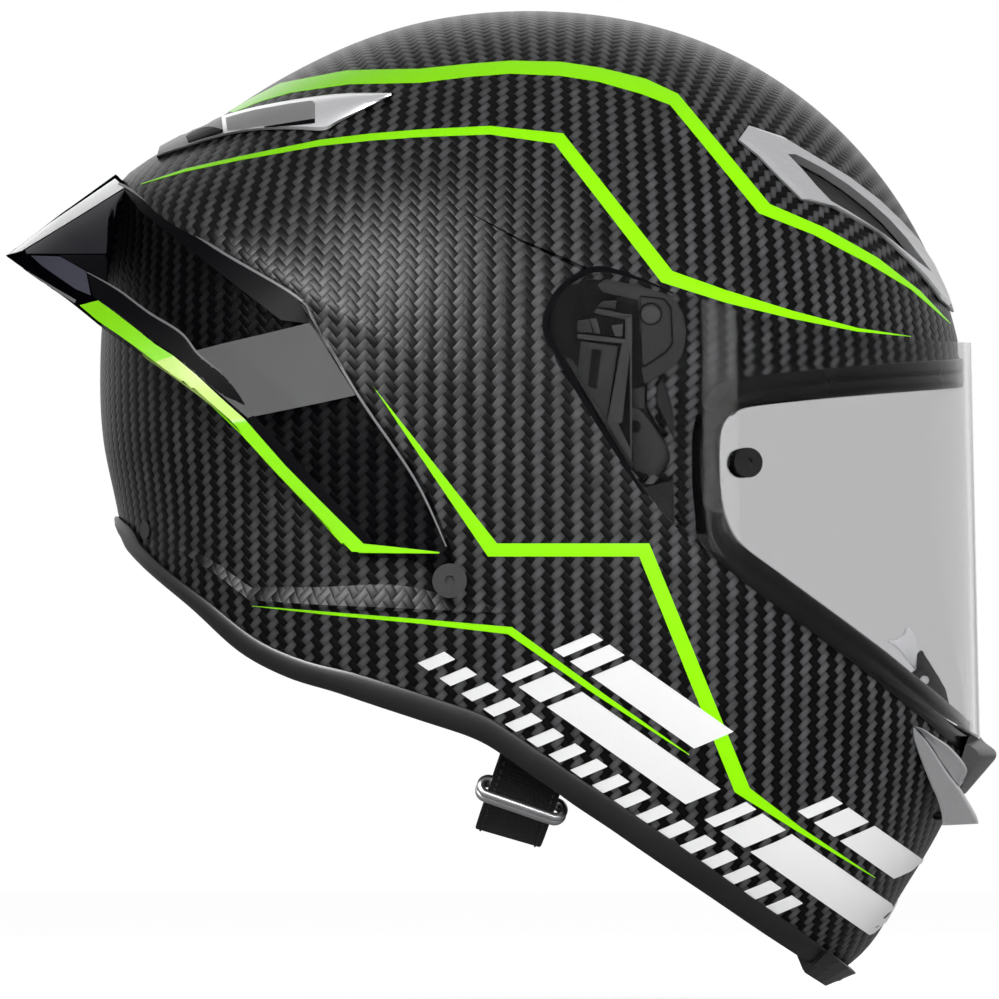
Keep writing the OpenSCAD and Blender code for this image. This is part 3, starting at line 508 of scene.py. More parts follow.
visorOutline = [
    [170, 34], [145, 34], [118, 35.7], [99, 37.8], [76.3, 42], [53.5, 48.6], [38.5, 52.5], [26, 56.4], [19, 57.6],
    [12, 57.2], [5.5, 53.8], [1.2, 48], [-0.4, 41], [0, 34.5], [3.2, 28.5], [19.6, 3.8], [27.6, -9.4], [41.3, -27.3],
    [59.5, -43.7], [87.5, -64.7], [112, -81.2], [140, -98.7], [150, -104.5], [170, -105],
]
crownOuter = [
    [65.1, 103.6], [68.6, 108.5], [80.5, 104.6], [91.4, 98], [103.3, 91], [114.1, 82.9], [121.5, 76], [127.8, 69.3],
    [133.5, 60.5], [137.5, 51.8], [139.1, 48], [140.2, 44.5], [138, 46.5], [135.5, 48.6], [131, 54.6], [124.2, 62],
    [114.1, 71.4], [97.7, 80.5], [86.8, 83], [79.1, 90.6], [72, 98],
]
crownInner = [
    [82, 98.6], [84.7, 98.6], [88.5, 96.8], [95, 93.4], [103, 88.2], [111, 82], [117.5, 76.2], [123.5, 69.6],
    [128.5, 63], [131.2, 59.4], [131.7, 58.7], [132, 58.2], [131.3, 58.7], [130.4, 59.4], [127.4, 61.6], [121.6, 66.3],
    [113, 72.8], [103, 79], [97, 82.4], [92, 87.6], [86.5, 94],
]
rearWindow = [[-83, 116.5], [-83, 111.8], [-104, 111], [-112, 109.4], [-108, 113.8], [-96, 116.4]]
ridgeRise = 2.4
ridgeRows = [
    [-131, -37.3, -130, -36], [-118, -46.2, -116.5, -42.7], [-107, -54.6, -104.6, -51], [-103.6, -56.3, -101, -51.2],
    [-80, -58.2, -80, -51.2], [-55, -59.5, -55, -50.4], [-36, -60, -36, -54], [-13, -60.4, -13, -59.6],
]
upperStripe = [
    [228, 112, 234, 113], [255, 97, 263, 102], [281, 84, 292, 94], [348, 72, 350, 86], [420, 71, 420, 85],
    [470, 66, 470, 79], [510, 63, 510, 76], [560, 64, 560, 78], [600, 70, 598, 84], [645, 81, 640, 96],
    [677, 96, 669, 107], [768, 206, 757, 215], [822, 229, 811, 236], [876, 259, 865, 264], [919, 292, 909, 290],
    [950, 324, 949, 324],
]


def portLine(w):  # the port's edge moved outwards by w
    edge = np.array(portEdge)
    line = []
    for i, p in enumerate(edge):
        s = edge[min(i + 1, len(edge) - 1)] - edge[max(i - 1, 0)]
        s = s / np.linalg.norm(s)
        away = (p - portMiddle) / np.linalg.norm(p - portMiddle)
        line.append(p + away * w / max(abs(away @ np.array([s[1], -s[0]])), 0.6))
    return np.array(line)


def facePlug(outline, low=-6.0, high=2.0, left=False):  # a cutter that stands square to the face
    return loft("cutter", [onFace(outline, d, left) for d in (low, high)])


def turnedAbout(points, centre, degrees):
    a = math.radians(degrees)
    turn = np.array([[math.cos(a), -math.sin(a)], [math.sin(a), math.cos(a)]])
    return (np.array(points) - centre) @ turn.T + centre


def grown(outline, by):
    p = np.array(outline, float)
    made = []
    area = sum(p[i - 1][0] * p[i][1] - p[i][0] * p[i - 1][1] for i in range(len(p)))
    for i in range(len(p)):
        a, b, c = p[i - 1], p[i], p[(i + 1) % len(p)]
        n1 = np.array([(b - a)[1], -(b - a)[0]]) / np.linalg.norm(b - a)
        n2 = np.array([(c - b)[1], -(c - b)[0]]) / np.linalg.norm(c - b)
        n = (n1 + n2) / max(np.linalg.norm(n1 + n2), 1e-9)
        made.append(b + n * by / max(n @ n1, 0.5) * (1 if area > 0 else -1))
    return np.array(made)


pivot = np.array([34.8, 42.8])
visorOpen = 45


def ridge(left):
    a, b = (curved(np.array(ridgeRows)[:, k:k + 2]) for k in (0, 2))
    rings = []
    for p, q in zip(a, b):
        rise = ridgeRise * min(1, np.linalg.norm(q - p) / 6)
        stations = [
            (q, -1.5), (q, 0), (0.5 * p + 0.5 * q, rise * 0.62), (0.88 * p + 0.12 * q, rise), (p, rise * 0.85), (p, -1.5),
        ]
        rings.append(np.array([seenAt(at, d, left) for at, d in stations]))
    piece = loft(sided("flankRidge", left), rings, material=carbonPolished)
    layWeave(piece)
    shade(piece, 24)
    return keep(piece, "helmet", "carbon_shell")


def creaseCutter(left):  # the sharp fold that runs back from the visor's top corner
    rings = []
    deep = -shell["creaseDepth"]
    for x, y, width in shell["crease"]:
        p = np.array(photo(x, y))
        lower = p - [0, width]
        rings.append(np.array([onFace(at, d, left) for at, d in [(p, 1), (p, deep), (lower, -0.1), (lower, 1)]]))
    return loft("crease", rings)


def slotCutter(z, left):  # one of the chin's breath slots
    side = 1 if left else -1
    outline = oval((side * shell["slotAt"], z), (side * shell["slotHalf"][0], shell["slotHalf"][1]), 24)
    return loft("slot", [np.array([[x, y, h] for y, h in outline]) for x in shell["slotDepth"]])


def makeShell():
    deep = shell["bayFloor"] - shell["bayWall"]
    outside = body("outerShell", 0, *shell["outside"])
    cut(outside, [body("inside", -shell["wall"], *shell["inside"])])
    for left in sides:
        pocket = prism(grown(rounded(bayOutline, 3), shell["bayWall"]), *((deep, 160) if left else (-160, -deep)))
        cut(pocket, [body("limit", -shell["bayDepth"], *shell["limit"])], "INTERSECT")
        cut(outside, [pocket], "UNION")
    angles = np.arange(-184, -59, 1.0)
    far = rimDistance(angles, shell["rimCut"])
    rimLine = np.stack([far * np.cos(np.radians(angles)), far * np.sin(np.radians(angles))], -1)
    cut(outside, [prism(list(rimLine) + [[beyond, -beyond], [-beyond, -beyond]], -aside, aside)])
    port = curved(portLine(shell["portCut"]), 4)
    cut(outside, [prism(list(port) + [[beyond, port[-1][1]], [beyond, port[0][1]]], -aside, aside)])
    share = shell["crownHole"]
    holes = share * np.array(crownOuter) + (1 - share) * np.array(crownInner)
    for left in sides:
        def span(y):
            return (y, aside) if left else (-aside, -y)
        for a in np.linspace(0, visorOpen, shell["seatSteps"]):
            swept = turnedAbout(rounded(grown(visorOutline, shell["visorGap"]), 3), pivot, a)
            cut(outside, [prism(swept, *span(shell["seatHalfWidth"]))])
        cut(outside, [prism(rounded(bayOutline, 3), *span(shell["bayFloor"]))])
        window = grown(rearWindow, shell["windowGap"])
        cut(outside, [facePlug(holes, left=left), facePlug(window, left=left), creaseCutter(left)])
        cut(outside, [slotCutter(z, left) for z in shell["slots"]])
    return outside


arcAngles = np.arange(-180, 181, 2.0)


def arcTables():  # lengths over the face from the flank's middle, and round the side view's outline
    turns = np.linspace(0, 90, 91)
    grid = facePoint(arcAngles[:, None], turns[None, :] - 1e-6)
    steps = np.linalg.norm(np.diff(grid, axis=1), axis=2)
    arcs = np.concatenate([np.zeros((len(arcAngles), 1)), np.cumsum(steps, axis=1)], axis=1)
    rim = np.linalg.norm(np.diff(grid[:, -1], axis=0), axis=1)
    return arcs, np.concatenate([[0], np.cumsum(rim)])


arcGrid, outlineArc = arcTables()


def arcAt(angle, turn):
    i = np.clip((angle + 180) / 2, 0, 179.999)
    j = np.clip(turn, 0, 89.999)
    a, b = i.astype(int), j.astype(int)
    u, v = i - a, j - b
    return ((1 - u) * (1 - v) * arcGrid[a, b] + u * (1 - v) * arcGrid[a + 1, b]
            + (1 - u) * v * arcGrid[a, b + 1] + u * v * arcGrid[a + 1, b + 1])


def layWeave(piece):  # where the cloth lies at each point, for the flank's ply and the crown's
    mesh = piece.data
    p = valuesOf(mesh.vertices, "co") / mm
    angle = angleAt(p)
    ratio = np.hypot(p[:, 0], p[:, 2]) / reach(angle) / np.maximum(np.abs(p[:, 1]) / shell["halfWidth"], 1e-6)
    s = arcAt(angle, np.degrees(np.arctan(ratio ** (rounding(angle) / 2))))
    a = np.radians(angle)
    flank = np.stack([s * np.cos(a), s * np.sin(a)], -1) * mm
    along = np.interp(angle, arcAngles, outlineArc)
    across = (arcAt(angle, np.full(len(angle), 90.0)) - s) * np.sign(p[:, 1])
    line = sum(edgesOf(upperStripe)) / 2
    above = p[:, 2] - np.interp(p[:, 0], line[:, 0], line[:, 1], left=999, right=999)
    loops = valuesOf(mesh.loops, "vertex_index", 1, int).ravel()
    for name, values in (("weave", flank), ("crownWeave", np.stack([along, across], -1) * mm)):
        mesh.uv_layers.new(name=name).data.foreach_set("uv", values[loops].ravel())
    mesh.attributes.new("crown", "FLOAT", "POINT").data.foreach_set("value", above)


def faceShading(piece, near=0.25):  # the face keeps its own formula's normals
    mesh = piece.data
    shade(piece, 30)
    p = valuesOf(mesh.vertices, "co") / mm
    normal = faceNormal(p)
    onIt = np.abs(level(p) ** (1 / rounding(angleAt(p))) - 1) * shell["meanReach"] < near
    loops = valuesOf(mesh.loops, "vertex_index", 1, int).ravel()
    corner = valuesOf(mesh.corner_normals, "vector")
    use = onIt[loops] & ((corner * normal[loops]).sum(1) > 0.9)
    corner[use] = normal[loops][use]
    mesh.normals_split_custom_set(corner.tolist())


outerShell = makeShell()
layWeave(outerShell)
coat(outerShell.data, carbon)
faceShading(outerShell)
keep(outerShell, "helmet", "carbon_shell", "outer_shell")
for left in sides:
    ridge(left)
print("shell made:", len(outerShell.data.polygons), "faces")


# Painted stripes, a little proud of the face, as [x, y, x, y] of both edges in pixels
stripes = {
    "rise": 0.16, "step": 2.0,
    "upper": upperStripe,
    "second": [
        [142, 185, 142, 185.6], [187, 170, 187, 173], [241, 158, 241, 162], [321, 142, 321, 148], [370, 136, 370, 143],
        [420, 132, 420, 139.5], [490, 128.5, 490, 137], [563, 136, 554, 146], [671, 273, 660, 284],
        [725, 292, 725, 304.5], [790, 312, 790, 320], [855, 329, 855, 332.5], [909, 337, 909, 337.5],
    ],
    "third": [
        [374, 387, 374.5, 387.5], [434, 463, 427, 466], [497, 543, 488, 556], [648, 543, 638, 556],
        [748, 786, 733, 790], [800, 826, 795, 829], [874, 876, 873.5, 876.5],
    ],
    "fourth": [
        [254, 605, 254, 605.5], [330, 611, 330, 614], [420, 618, 420, 622.5], [512, 626, 508, 633],
        [600, 690, 596, 694], [688, 752.5, 687.5, 753],
    ],
}


def stripe(name, pairs, material, left, place=onFace, rise=stripes["rise"], slotName="carbon_shell", inner=3, soft=False):
    a, b = edgesOf(pairs)
    if soft:
        a, b = curved(a, 8), curved(b, 8)
    else:
        counts = [max(1, int(np.linalg.norm(s - p) / stripes["step"])) for p, s in zip(a[:-1], a[1:])]
        a, b = (
            [p + (s - p) * k / count for p, s, count in zip(line[:-1], line[1:], counts) for k in range(count)] + [line[-1]]
            for line in (a, b)
        )
    shares = np.linspace(0.12, 0.88, inner)
    rings = []
    for p, q in zip(a, b):
        stations = [(p, -0.1), (p, rise * 0.8), *[(p + (q - p) * s, rise) for s in shares], (q, rise * 0.8), (q, -0.1)]
        rings.append(np.array([place(at, d, left) for at, d in stations]))
    return dressed(sided(name, left), rings, material, 40, "helmet", slotName)


def overlays(prefix, table, finish, place, slotName):  # a table's lines, laid on the piece that place stands on
    for key, pairs in table["lines"].items():
        material, rise = finish[key]
        for left in sides:
            stripe(prefix + key, pairs, material, left, place, rise, slotName, 7, key in table["soft"])


for key in ("upper", "second", "third", "fourth"):
    for left in sides:
        stripe(f"{key}Stripe", stripes[key], green, left)

# Plain slanted bars in white, laid out along the fourth stripe: [start, end, low, high] of each, in pixels
bars = {
    "origin": (430, 640), "along": (0.818, 0.575), "slant": 0.62,
    "large": [
        [66, 78, 64, 100], [86, 104, 64, 100], [112, 236, 64, 100], [70, 82, 14, 46], [90, 116, 14, 46],
        [124, 292, 14, 46], [352, 364, 72, 104], [372, 396, 72, 104], [404, 470, 72, 104], [318, 330, 12, 50],
        [338, 366, 12, 50], [374, 520, 12, 50],
    ],
    "small": {"first": 18, "pitch": 26.4, "width": 13, "count": 17, "low": -24, "high": 0},
}


def barPlace(along, up):
    e = np.array(bars["along"])
    return np.array(bars["origin"]) + e * (along + up * bars["slant"]) + np.array([e[1], -e[0]]) * up


def makeBars(left):
    small = bars["small"]
    starts = [small["first"] + k * small["pitch"] for k in range(small["count"])]
    shapes = bars["large"] + [[start, start + small["width"], small["low"], small["high"]] for start in starts]
    for k, (start, end, low, high) in enumerate(shapes):
        pairs = [(*barPlace(x, high), *barPlace(x, low)) for x in (start, end)]
        piece = stripe("whiteBar", pairs, white, left, rise=0.48)
        piece.name += str(k)


for left in sides:
    makeBars(left)
print("stripes laid")

# The seal round the eye port, as [distance from the port's edge, height over the face]
seal = {
    "profile": [
        [0, -6], [0, -0.9], [0.5, 0.1], [1.6, 0.85], [3, 1.1], [4.2, 0.85], [4.9, 0.35], [5.6, 0.85], [6.8, 1.1],
        [8.4, 1.05], [9.5, 0.9], [10, 0.5], [7, 0.5], [4.2, -6],
    ],
    "steps": 6, "most": 118.5, "gap": 0.5,
}
visor = {
    "thick": 2.2, "front": 145.03, "flank": 127.2, "round": 2.25, "halfWidth": 119.5, "lean": 1.27,
    "turnIn": 150, "span": (-160, 100), "ahead": ([175, 34], [175, -105]), "lug": 3.4, "lugSides": (113.5, 120.6),
}


def visorFront(p):  # the visor's inner face at these points' height and width
    share = np.minimum(np.abs(p[:, 1]) / visor["flank"], 1)
    bow = visor["front"] * (1 - share ** visor["round"]) ** (1 / visor["round"])
    return bow + (pivot[1] - p[:, 2]) * math.tan(math.radians(visor["lean"]))


def flankBehind(at, d):  # the point of the face grown by d that lies straight behind [x, z]
    angle = angleAt(at)
    n = rounding(angle)
    share = min(math.hypot(*at) / (reach(angle) + d), 1)
    return np.array([at[0], -(shell["halfWidth"] + d) * (1 - share**n) ** (1 / n), at[1]])


def makeSeal():
    profile = seal["profile"]
    lines = [curved(portLine(w), seal["steps"]) for w, _ in profile]
    rings = []
    for i in range(len(lines[0])):
        ring = np.array([onFace(lines[k][i], d) if d > -3 else flankBehind(lines[k][i], d)
                         for k, (_, d) in enumerate(profile)])
        ring[:, 1] = np.maximum(ring[:, 1], -seal["most"])
        ring[:, 0] = np.minimum(ring[:, 0], visorFront(ring) - seal["gap"])
        if i in (0, len(lines[0]) - 1):
            ring[:, 1] = 0
        rings.append(ring)
    dressed("portSeal", rings + otherSide(rings)[1:-1], rubber, 50, "helmet", "seal_rubber", "port_seal", closed=True)


makeSeal()


def visorHalf():
    turns = np.radians(np.linspace(10, 89, 60))
    x = visor["front"] * np.sin(turns) ** (2 / visor["round"])
    y = visor["flank"] * np.cos(turns) ** (2 / visor["round"])
    limit, sharp = visor["halfWidth"], visor["turnIn"]
    y = np.where(y < 0.9 * limit, y, limit * (1 + (limit / y) ** sharp) ** (-1 / sharp))
    flat = np.linspace(-6, x[0] - 2, 8)
    return np.vstack([np.stack([flat, np.full(8, limit)], -1), np.stack([x, y], -1)])


def makeVisor():
    half = visorHalf()
    inner = np.vstack([half, [[visor["front"], 0]], half[::-1] * [1, -1]])
    way = np.gradient(inner, axis=0)
    normal = np.stack([-way[:, 1], way[:, 0]], -1) / np.linalg.norm(way, axis=1, keepdims=True)
    outer = inner + visor["thick"] * normal
    plan = np.vstack([outer, inner[::-1]])
    rings = []
    for z in visor["span"]:
        leaning = turnedAbout([(x, z) for x in plan[:, 0]], pivot, visor["lean"])
        rings.append(np.stack([leaning[:, 0], plan[:, 1], leaning[:, 1]], -1))
    piece = loft("visorShield", rings)
    outline = np.array(visorOutline[1:-1])
    above, below = visor["ahead"]
    edge = rounded([above] + list(curved(outline, 5)) + [below], 0.4, 2)
    cut(piece, [prism(edge, -aside, aside)], "INTERSECT")
    for side in (-1, 1):
        y0, y1 = sorted(side * y for y in visor["lugSides"])
        cut(piece, [prism(oval(pivot, (visor["lug"], visor["lug"])), y0, y1)], "UNION")
    coat(piece.data, clearTint)
    shade(piece, 30)
    keep(piece, "visor_shield", "visor_clear", "visor")


makeVisor()
print("seal and visor made")

# The spoiler: a smoked moulding, with the lines that the photograph shows on it as [x, y, x, y] of both edges in pixels
spoiler = {
    "thick": 2.2, "inner": (0.8, -0.6), "over": 0.34, "free": 0.97, "soft": ("Shade", "Crease", "Edge"),
    "upperShares": (0, 0.04, 0.14, 0.24, 0.34, 0.45, 0.58, 0.72, 0.86, 0.96),
    "lowerShares": (0.04, 0.14, 0.28, 0.42, 0.56, 0.7, 0.85, 0.96, 1),
    "rows": [
        [[-152, 0, 93], [-170, 0, 80], [-190.5, 0, 64.5]],
        [[-150.5, -18, 91.5], [-170, -20, 79], [-189, -22, 63.5]],
        [[-146, -38, 88.5], [-166, -42, 74], [-182, -46, 58.5]],
        [[-139, -58, 84], [-156, -64, 66], [-168, -70, 48.6]],
        [[-128, -77, 76], [-143, -85, 56], [-152, -90, 36]],
        [[-116, -92, 67.6], [-127, -102, 44], [-134, -104, 24]],
        [[-101, -104, 58.6], [-110, -113, 31], [-116, -113, 11]],
        [[-87.5, -112.2, 50.4], [-93, -119, 18], [-98.5, -117, -8.5]],
        [[-78, -117, 33], [-78, -122.6, 2], [-80, -122, -28]],
        [[-64.5, -121.5, 15], [-64, -125.6, -12], [-68, -125, -39.4]],
        [[-45.5, -124.6, -13.3], [-46, -127.4, -28], [-48, -127.2, -41.6]],
        [[-35, -125.8, -38], [-34, -127.8, -44], [-36, -127.6, -52]],
    ],
    # Besides the green stripes, these lines are painted shade, painted highlights and painted reflections
    "lines": {
        "Top": [[5.5, 255.6, 22, 251.5], [40, 230.8, 52, 233.5], [80, 203.6, 90, 210.3], [115.5, 179, 125.5, 188]],
        "Facet": [
            [26.5, 250.6, 27.5, 254.3], [60, 230.2, 60, 254.5], [90, 212, 90, 254.6], [108, 200.5, 108, 254.7],
            [117, 195, 116, 217], [125.5, 190, 125.5, 191.5],
        ],
        "Under": [[62, 256, 62, 257], [89, 256, 89, 272], [107, 256, 107, 282], [109, 262, 109, 280]],
        "Shade": [
            [89, 274.5, 96, 298.5], [120.5, 292, 118, 313], [152, 315.5, 149, 336], [183.7, 335.5, 172, 352.5],
            [201, 357, 196, 372], [224, 375, 221, 393], [238, 391, 236, 401], [247, 405, 246.5, 406],
        ],
        "ShadeLower": [[256, 416, 247.8, 419.6], [299, 461.5, 288, 465.5], [374, 541.5, 365.5, 543]],
        "Wedge": [
            [124, 189.5, 126, 192], [137, 196.5, 141, 211.7], [215.3, 249.8, 212, 267], [300, 300.5, 282.7, 321.5],
            [310, 323, 306, 324.5],
        ],
        "Stripe": [
            [100.5, 301.5, 81.8, 306.4], [119, 315, 100.5, 322.2], [137.8, 329.4, 121, 336], [157, 345, 140, 349.5],
            [176, 357, 157.5, 362.8],
        ],
        "StripeLower": [
            [246.8, 419.8, 228.2, 421.2], [287, 465.7, 275, 472], [325, 504, 313, 512], [364.5, 543.2, 351.6, 552.4],
            [400, 547, 400, 552.8], [440, 551.5, 440, 553],
        ],
        "StripePale": [
            [176, 357, 157.5, 362.8], [198, 375.3, 183.7, 382.5], [221, 396.8, 205, 401], [246.8, 419.8, 228.2, 421.2],
        ],
        "Band": [[178, 357, 249.7, 418.4], [222, 345.5, 286, 411], [267, 335, 323, 403.5], [311.4, 324.2, 357, 396]],
        "Glint": [[32, 256.4, 44, 267], [61.7, 257.6, 77.5, 290], [88, 272.5, 93, 296.5]],
        "Crease": [
            [89, 273, 89.5, 274], [120.5, 290, 120, 292], [152, 313, 151, 315], [183.7, 333, 182.7, 335],
            [201, 354.4, 200, 356], [224, 373.5, 223.5, 374],
        ],
        "Edge": [
            [120, 183.5, 119, 185.5], [137.8, 193.4, 136.5, 195.6], [215.3, 247, 214, 249.2], [300, 297.8, 298, 299.8],
            [318, 324, 315.6, 325], [362, 398, 359.6, 399], [417, 480, 415, 481], [447, 546, 446, 546.5],
        ],
        "Rim": [[9, 258.6, 8, 260], [30, 272.3, 29, 274], [55, 287.6, 54, 290], [78, 301, 77, 304]],
    },
}
# A paler green: a painted highlight on the stripe where it passes under the spoiler's reflection
litStripeGreen = paintMaterial("greenPaintLit", (0.68, 1.0, 0.22), 0.25, grain=0.02)
# A pale grey sheet: a painted reflection band across the spoiler
reflectionGrey = newMaterial("smokeReflectionBand", (0.175, 0.175, 0.178), 0.3, alpha=0.78, specular=0.0)
# A bluish grey sheet: painted glints on the spoiler's tail
glintBlue = newMaterial("smokeGlint", (0.1, 0.1, 0.135), 0.3, alpha=0.9, specular=0.0)
# Near-black sheets: painted shade and shadow below the spoiler's crease, in its wedge and on its underside, in the
# visor's recess gap and in the rear vent's openings
paintedShadeBlack = mouldedMaterial("paintedShadeBlack", (0.003, 0.003, 0.004), 0.4, bump=0.00001, specular=0.01)
# A dim grey sheet, lighter than the smoke: a painted faint reflection on the tail's facets
smokeFacetSheen = mouldedMaterial("smokeFacetSheen", (0.024, 0.024, 0.03), 0.4, bump=0.00001, specular=0.02)
# Grey lines: painted highlights along the spoiler's creases, edges and rim
edgeHighlightGrey = mouldedMaterial("edgeHighlightLine", (0.2, 0.2, 0.205), 0.4, bump=0.00001, specular=0.05)
# A near-white sheet: a painted reflection along the top of the tail
topReflectionWhite = paintMaterial("topReflectionWhite", (0.82, 0.82, 0.83), 0.1, grain=0.02)


def standOn(piece):  # gives the place on a piece's right side that the side view shows at [x, z]
    bm = bmesh.new()
    bm.from_mesh(piece.data)
    tree = BVHTree.FromBMesh(bm)
    bm.free()

    outside, inwards = -300 * mm, -60 * mm  # a ray starts outside, and one that misses takes the nearest point

    def place(at, d, left=False):
        hit, normal, _, _ = tree.ray_cast(Vector((at[0] * mm, outside, at[1] * mm)), Vector((0, 1, 0)))
        if hit is None:
            hit, normal, _, _ = tree.find_nearest(Vector((at[0] * mm, inwards, at[1] * mm)))
        if normal.y > 0:
            normal = -normal
        p = np.array(hit) / mm + np.array(normal) * d
        return p * mirror if left else p
    return place


def makeSpoiler():
    edges = [curved([row[k] for row in spoiler["rows"]], 14) for k in range(3)]
    rings = []
    for a, b, c in zip(*edges):
        line = [a + (b - a) * t for t in spoiler["upperShares"]] + [b + (c - b) * t for t in spoiler["lowerShares"]]
        line = np.array(line)
        side = np.where(line[:, 1] < -spoiler["thick"], spoiler["thick"], 0)
        forwards, down = spoiler["inner"]
        inner = line + np.stack([np.full(len(line), forwards), side, np.full(len(line), down)], -1)
        rings.append(np.vstack([line, inner[::-1]]))
    piece = loft("rearSpoiler", otherSide(rings)[:-1] + rings, material=smoke)
    shade(piece, 32)
    p = valuesOf(piece.data.vertices, "co") / mm
    free = np.hypot(p[:, 0], p[:, 2]) > reach(angleAt(p)) - 1
    dense = np.where(free, spoiler["free"], spoiler["over"])
    piece.data.attributes.new("dense", "FLOAT", "POINT").data.foreach_set("value", dense)
    keep(piece, "helmet", "smoke_spoiler", "spoiler")
    finish = {
        "Stripe": (green, 0.12), "StripeLower": (green, 0.12), "StripePale": (litStripeGreen, 0.12), "Band": (reflectionGrey, 0.1),
        "Glint": (glintBlue, 0.12), "Crease": (edgeHighlightGrey, 0.16), "Edge": (edgeHighlightGrey, 0.3), "Rim": (edgeHighlightGrey, 0.16),
        "Top": (topReflectionWhite, 0.12), "Facet": (smokeFacetSheen, 0.1), "Under": (paintedShadeBlack, 0.1), "Shade": (paintedShadeBlack, 0.11),
        "ShadeLower": (paintedShadeBlack, 0.1), "Wedge": (paintedShadeBlack, 0.1),
    }
    overlays("spoiler", spoiler, finish, standOn(piece), "smoke_spoiler")


makeSpoiler()

# The rubber trim round the rim
trim = {
    "profile": [
        [8.5, 1.2], [8.5, 0.6], [2, 0.6], [2, -5.3], [8.5, -5.3], [8.5, -6.7], [0.8, -6.7], [-0.4, -6], [-1, -3.8],
        [-1, -0.6], [-0.6, 0.6], [0.4, 1.3], [4, 1.9], [7.6, 1.7],
    ],
    "steps": 110,
}


def makeTrim():
    rings = [rimRing(trim["profile"], k / trim["steps"]) for k in range(trim["steps"] + 1)]
    dressed("rimTrim", rings + otherSide(rings)[1:-1], satinBlack, 40, "helmet", "black_trim", "rim_trim", closed=True)


makeTrim()
print("spoiler and trim made")

# The rear vent's frame: a blade on each flank that meets the other over the crown, [lower, upper] in pixels
rearFrame = {
    "join": 35, "soft": ("Mouth",),
    "rows": [
        [391.5, 98, 392, 95], [365, 111.5, 371, 94.8], [339.6, 124.5, 349, 95], [325, 132.2, 326, 96.8],
        [300, 131.3, 300, 100.3], [272.6, 131.2, 270, 105.2], [248, 133, 245, 110.5], [224.8, 137, 222, 116.8],
        [205, 142.3, 200, 126.5], [186.5, 148.4, 182, 131.5], [170, 153.5, 166, 136.5], [157.5, 158, 160.5, 144],
    ],
    "profile": [(0, -0.6), (0, 0.7), (0.1, 1.7), (0.3, 2.2), (0.55, 2.4), (0.8, 2.2), (0.93, 1.7), (1, 0.7), (1, -0.6)],
    "lines": {
        "Panel": [
            [315.8, 105, 316, 124], [312.8, 102.4, 312.8, 126.2], [290, 105.4, 290, 128], [255.4, 111.3, 255, 130.4],
            [240, 115, 241, 131.3], [226.5, 118.8, 228.5, 132],
        ],
        "Slot": [[315.9, 120.7, 315.9, 125], [300, 123, 300, 127], [265, 128.4, 266, 129.2]],
        "Mouth": [
            [224.8, 131.2, 222.9, 134.5], [213.3, 128, 214, 137], [203.7, 128.3, 204, 139.7], [194, 131.8, 195, 142.5],
            [186.5, 137, 189.4, 144],
        ],
    },
}


# A flat grey for the frame's rear part: painted shade where the silver frame looks darker
frameShadedGrey = mouldedMaterial("frameShadedGrey", (0.24, 0.24, 0.243), 0.45, bump=0.00001, specular=0.1)
panelGrey = mouldedMaterial("panelGrey", (0.26, 0.26, 0.262), 0.45, bump=0.00001, specular=0.1)


def makeRearFrame():
    lower, upper = (curved(edge, 5) for edge in edgesOf(rearFrame["rows"]))
    rings = [np.array([seenAt(p + (q - p) * share, d) for share, d in rearFrame["profile"]]) for p, q in zip(lower, upper)]
    joint = rearFrame["join"]
    pieces = []
    for name, part, material in (("Blade", rings[:joint + 1], silver), ("Tail", rings[joint:], frameShadedGrey)):
        for left in sides:
            own, nodes = otherSide(part) if left else part, [] if pieces else ["rear_vent_frame"]
            pieces.append(dressed(sided(f"rearFrame{name}", left), own, material, 28, "helmet", "silver_trim", *nodes))
    onBlade, onTail = standOn(pieces[0]), standOn(pieces[2])

    def place(at, d, left=False):
        return (onBlade if at[0] > rings[joint][0][0] else onTail)(at, d, left)

    # The slots and the mouth are near-black sheets: painted shadow in the vent's openings
    finish = {"Panel": (panelGrey, 0.1), "Slot": (paintedShadeBlack, 0.16), "Mouth": (paintedShadeBlack, 0.14)}
    overlays("rearFrame", rearFrame, finish, place, "silver_trim")


makeRearFrame()

# The fins beside the chin's vent and the black lip between them
chin = {
    "blade": [
        [911.9, 726, 911, 728], [921.2, 735.4, 912, 738], [930.8, 747.8, 915, 748], [946.1, 770.8, 923, 768],
        [958.6, 787.1, 930, 785], [965.3, 797.6, 935.6, 797], [974.8, 813.9, 940.4, 814], [977.6, 823, 941, 824.4],
    ],
    "scoop": [
        [912, 725, 913, 728], [921.2, 727.8, 924, 738], [932.7, 735.4, 932, 748], [946.1, 744, 938, 758],
        [956.6, 754.5, 946, 769], [963.3, 763.2, 953, 779], [965.7, 771, 957, 784], [961.4, 781.3, 958, 786.5],
    ],
    "lip": [
        (978.2, 734), (984.4, 742.1), (994.9, 749.8), (996.8, 753.6), (995.9, 758.4), (964.3, 795.2),
        (956, 789), (966, 768), (972, 750), (974, 738),
    ],
    "lipHalf": 34.0, "lipBow": 3.2, "lipDrop": 3.5, "lipNose": 150, "lipEnd": 0.5, "lipEndScale": 0.985, "proud": 1.5,
    "bladeProfile": [(0, -4), (0, -0.6), (0.05, 0.6), (0.13, 1.1), (0.2, 1.15), (0.6, 0.9), (0.93, 0.5), (1, -0.2), (1, -4)],
    "scoopProfile": [(0, -4), (0, 0.3), (0.12, 0.7), (0.25, 0.2), (0.6, -1.6), (0.9, -2.2), (1, -2.4), (1, -4)],
    "plane": [[126.4, -70, -100.5], [130.8, -55.2, -118], [137, -53, -106], [146.5, -40, -117], [149.5, -35, -134.6]],
}
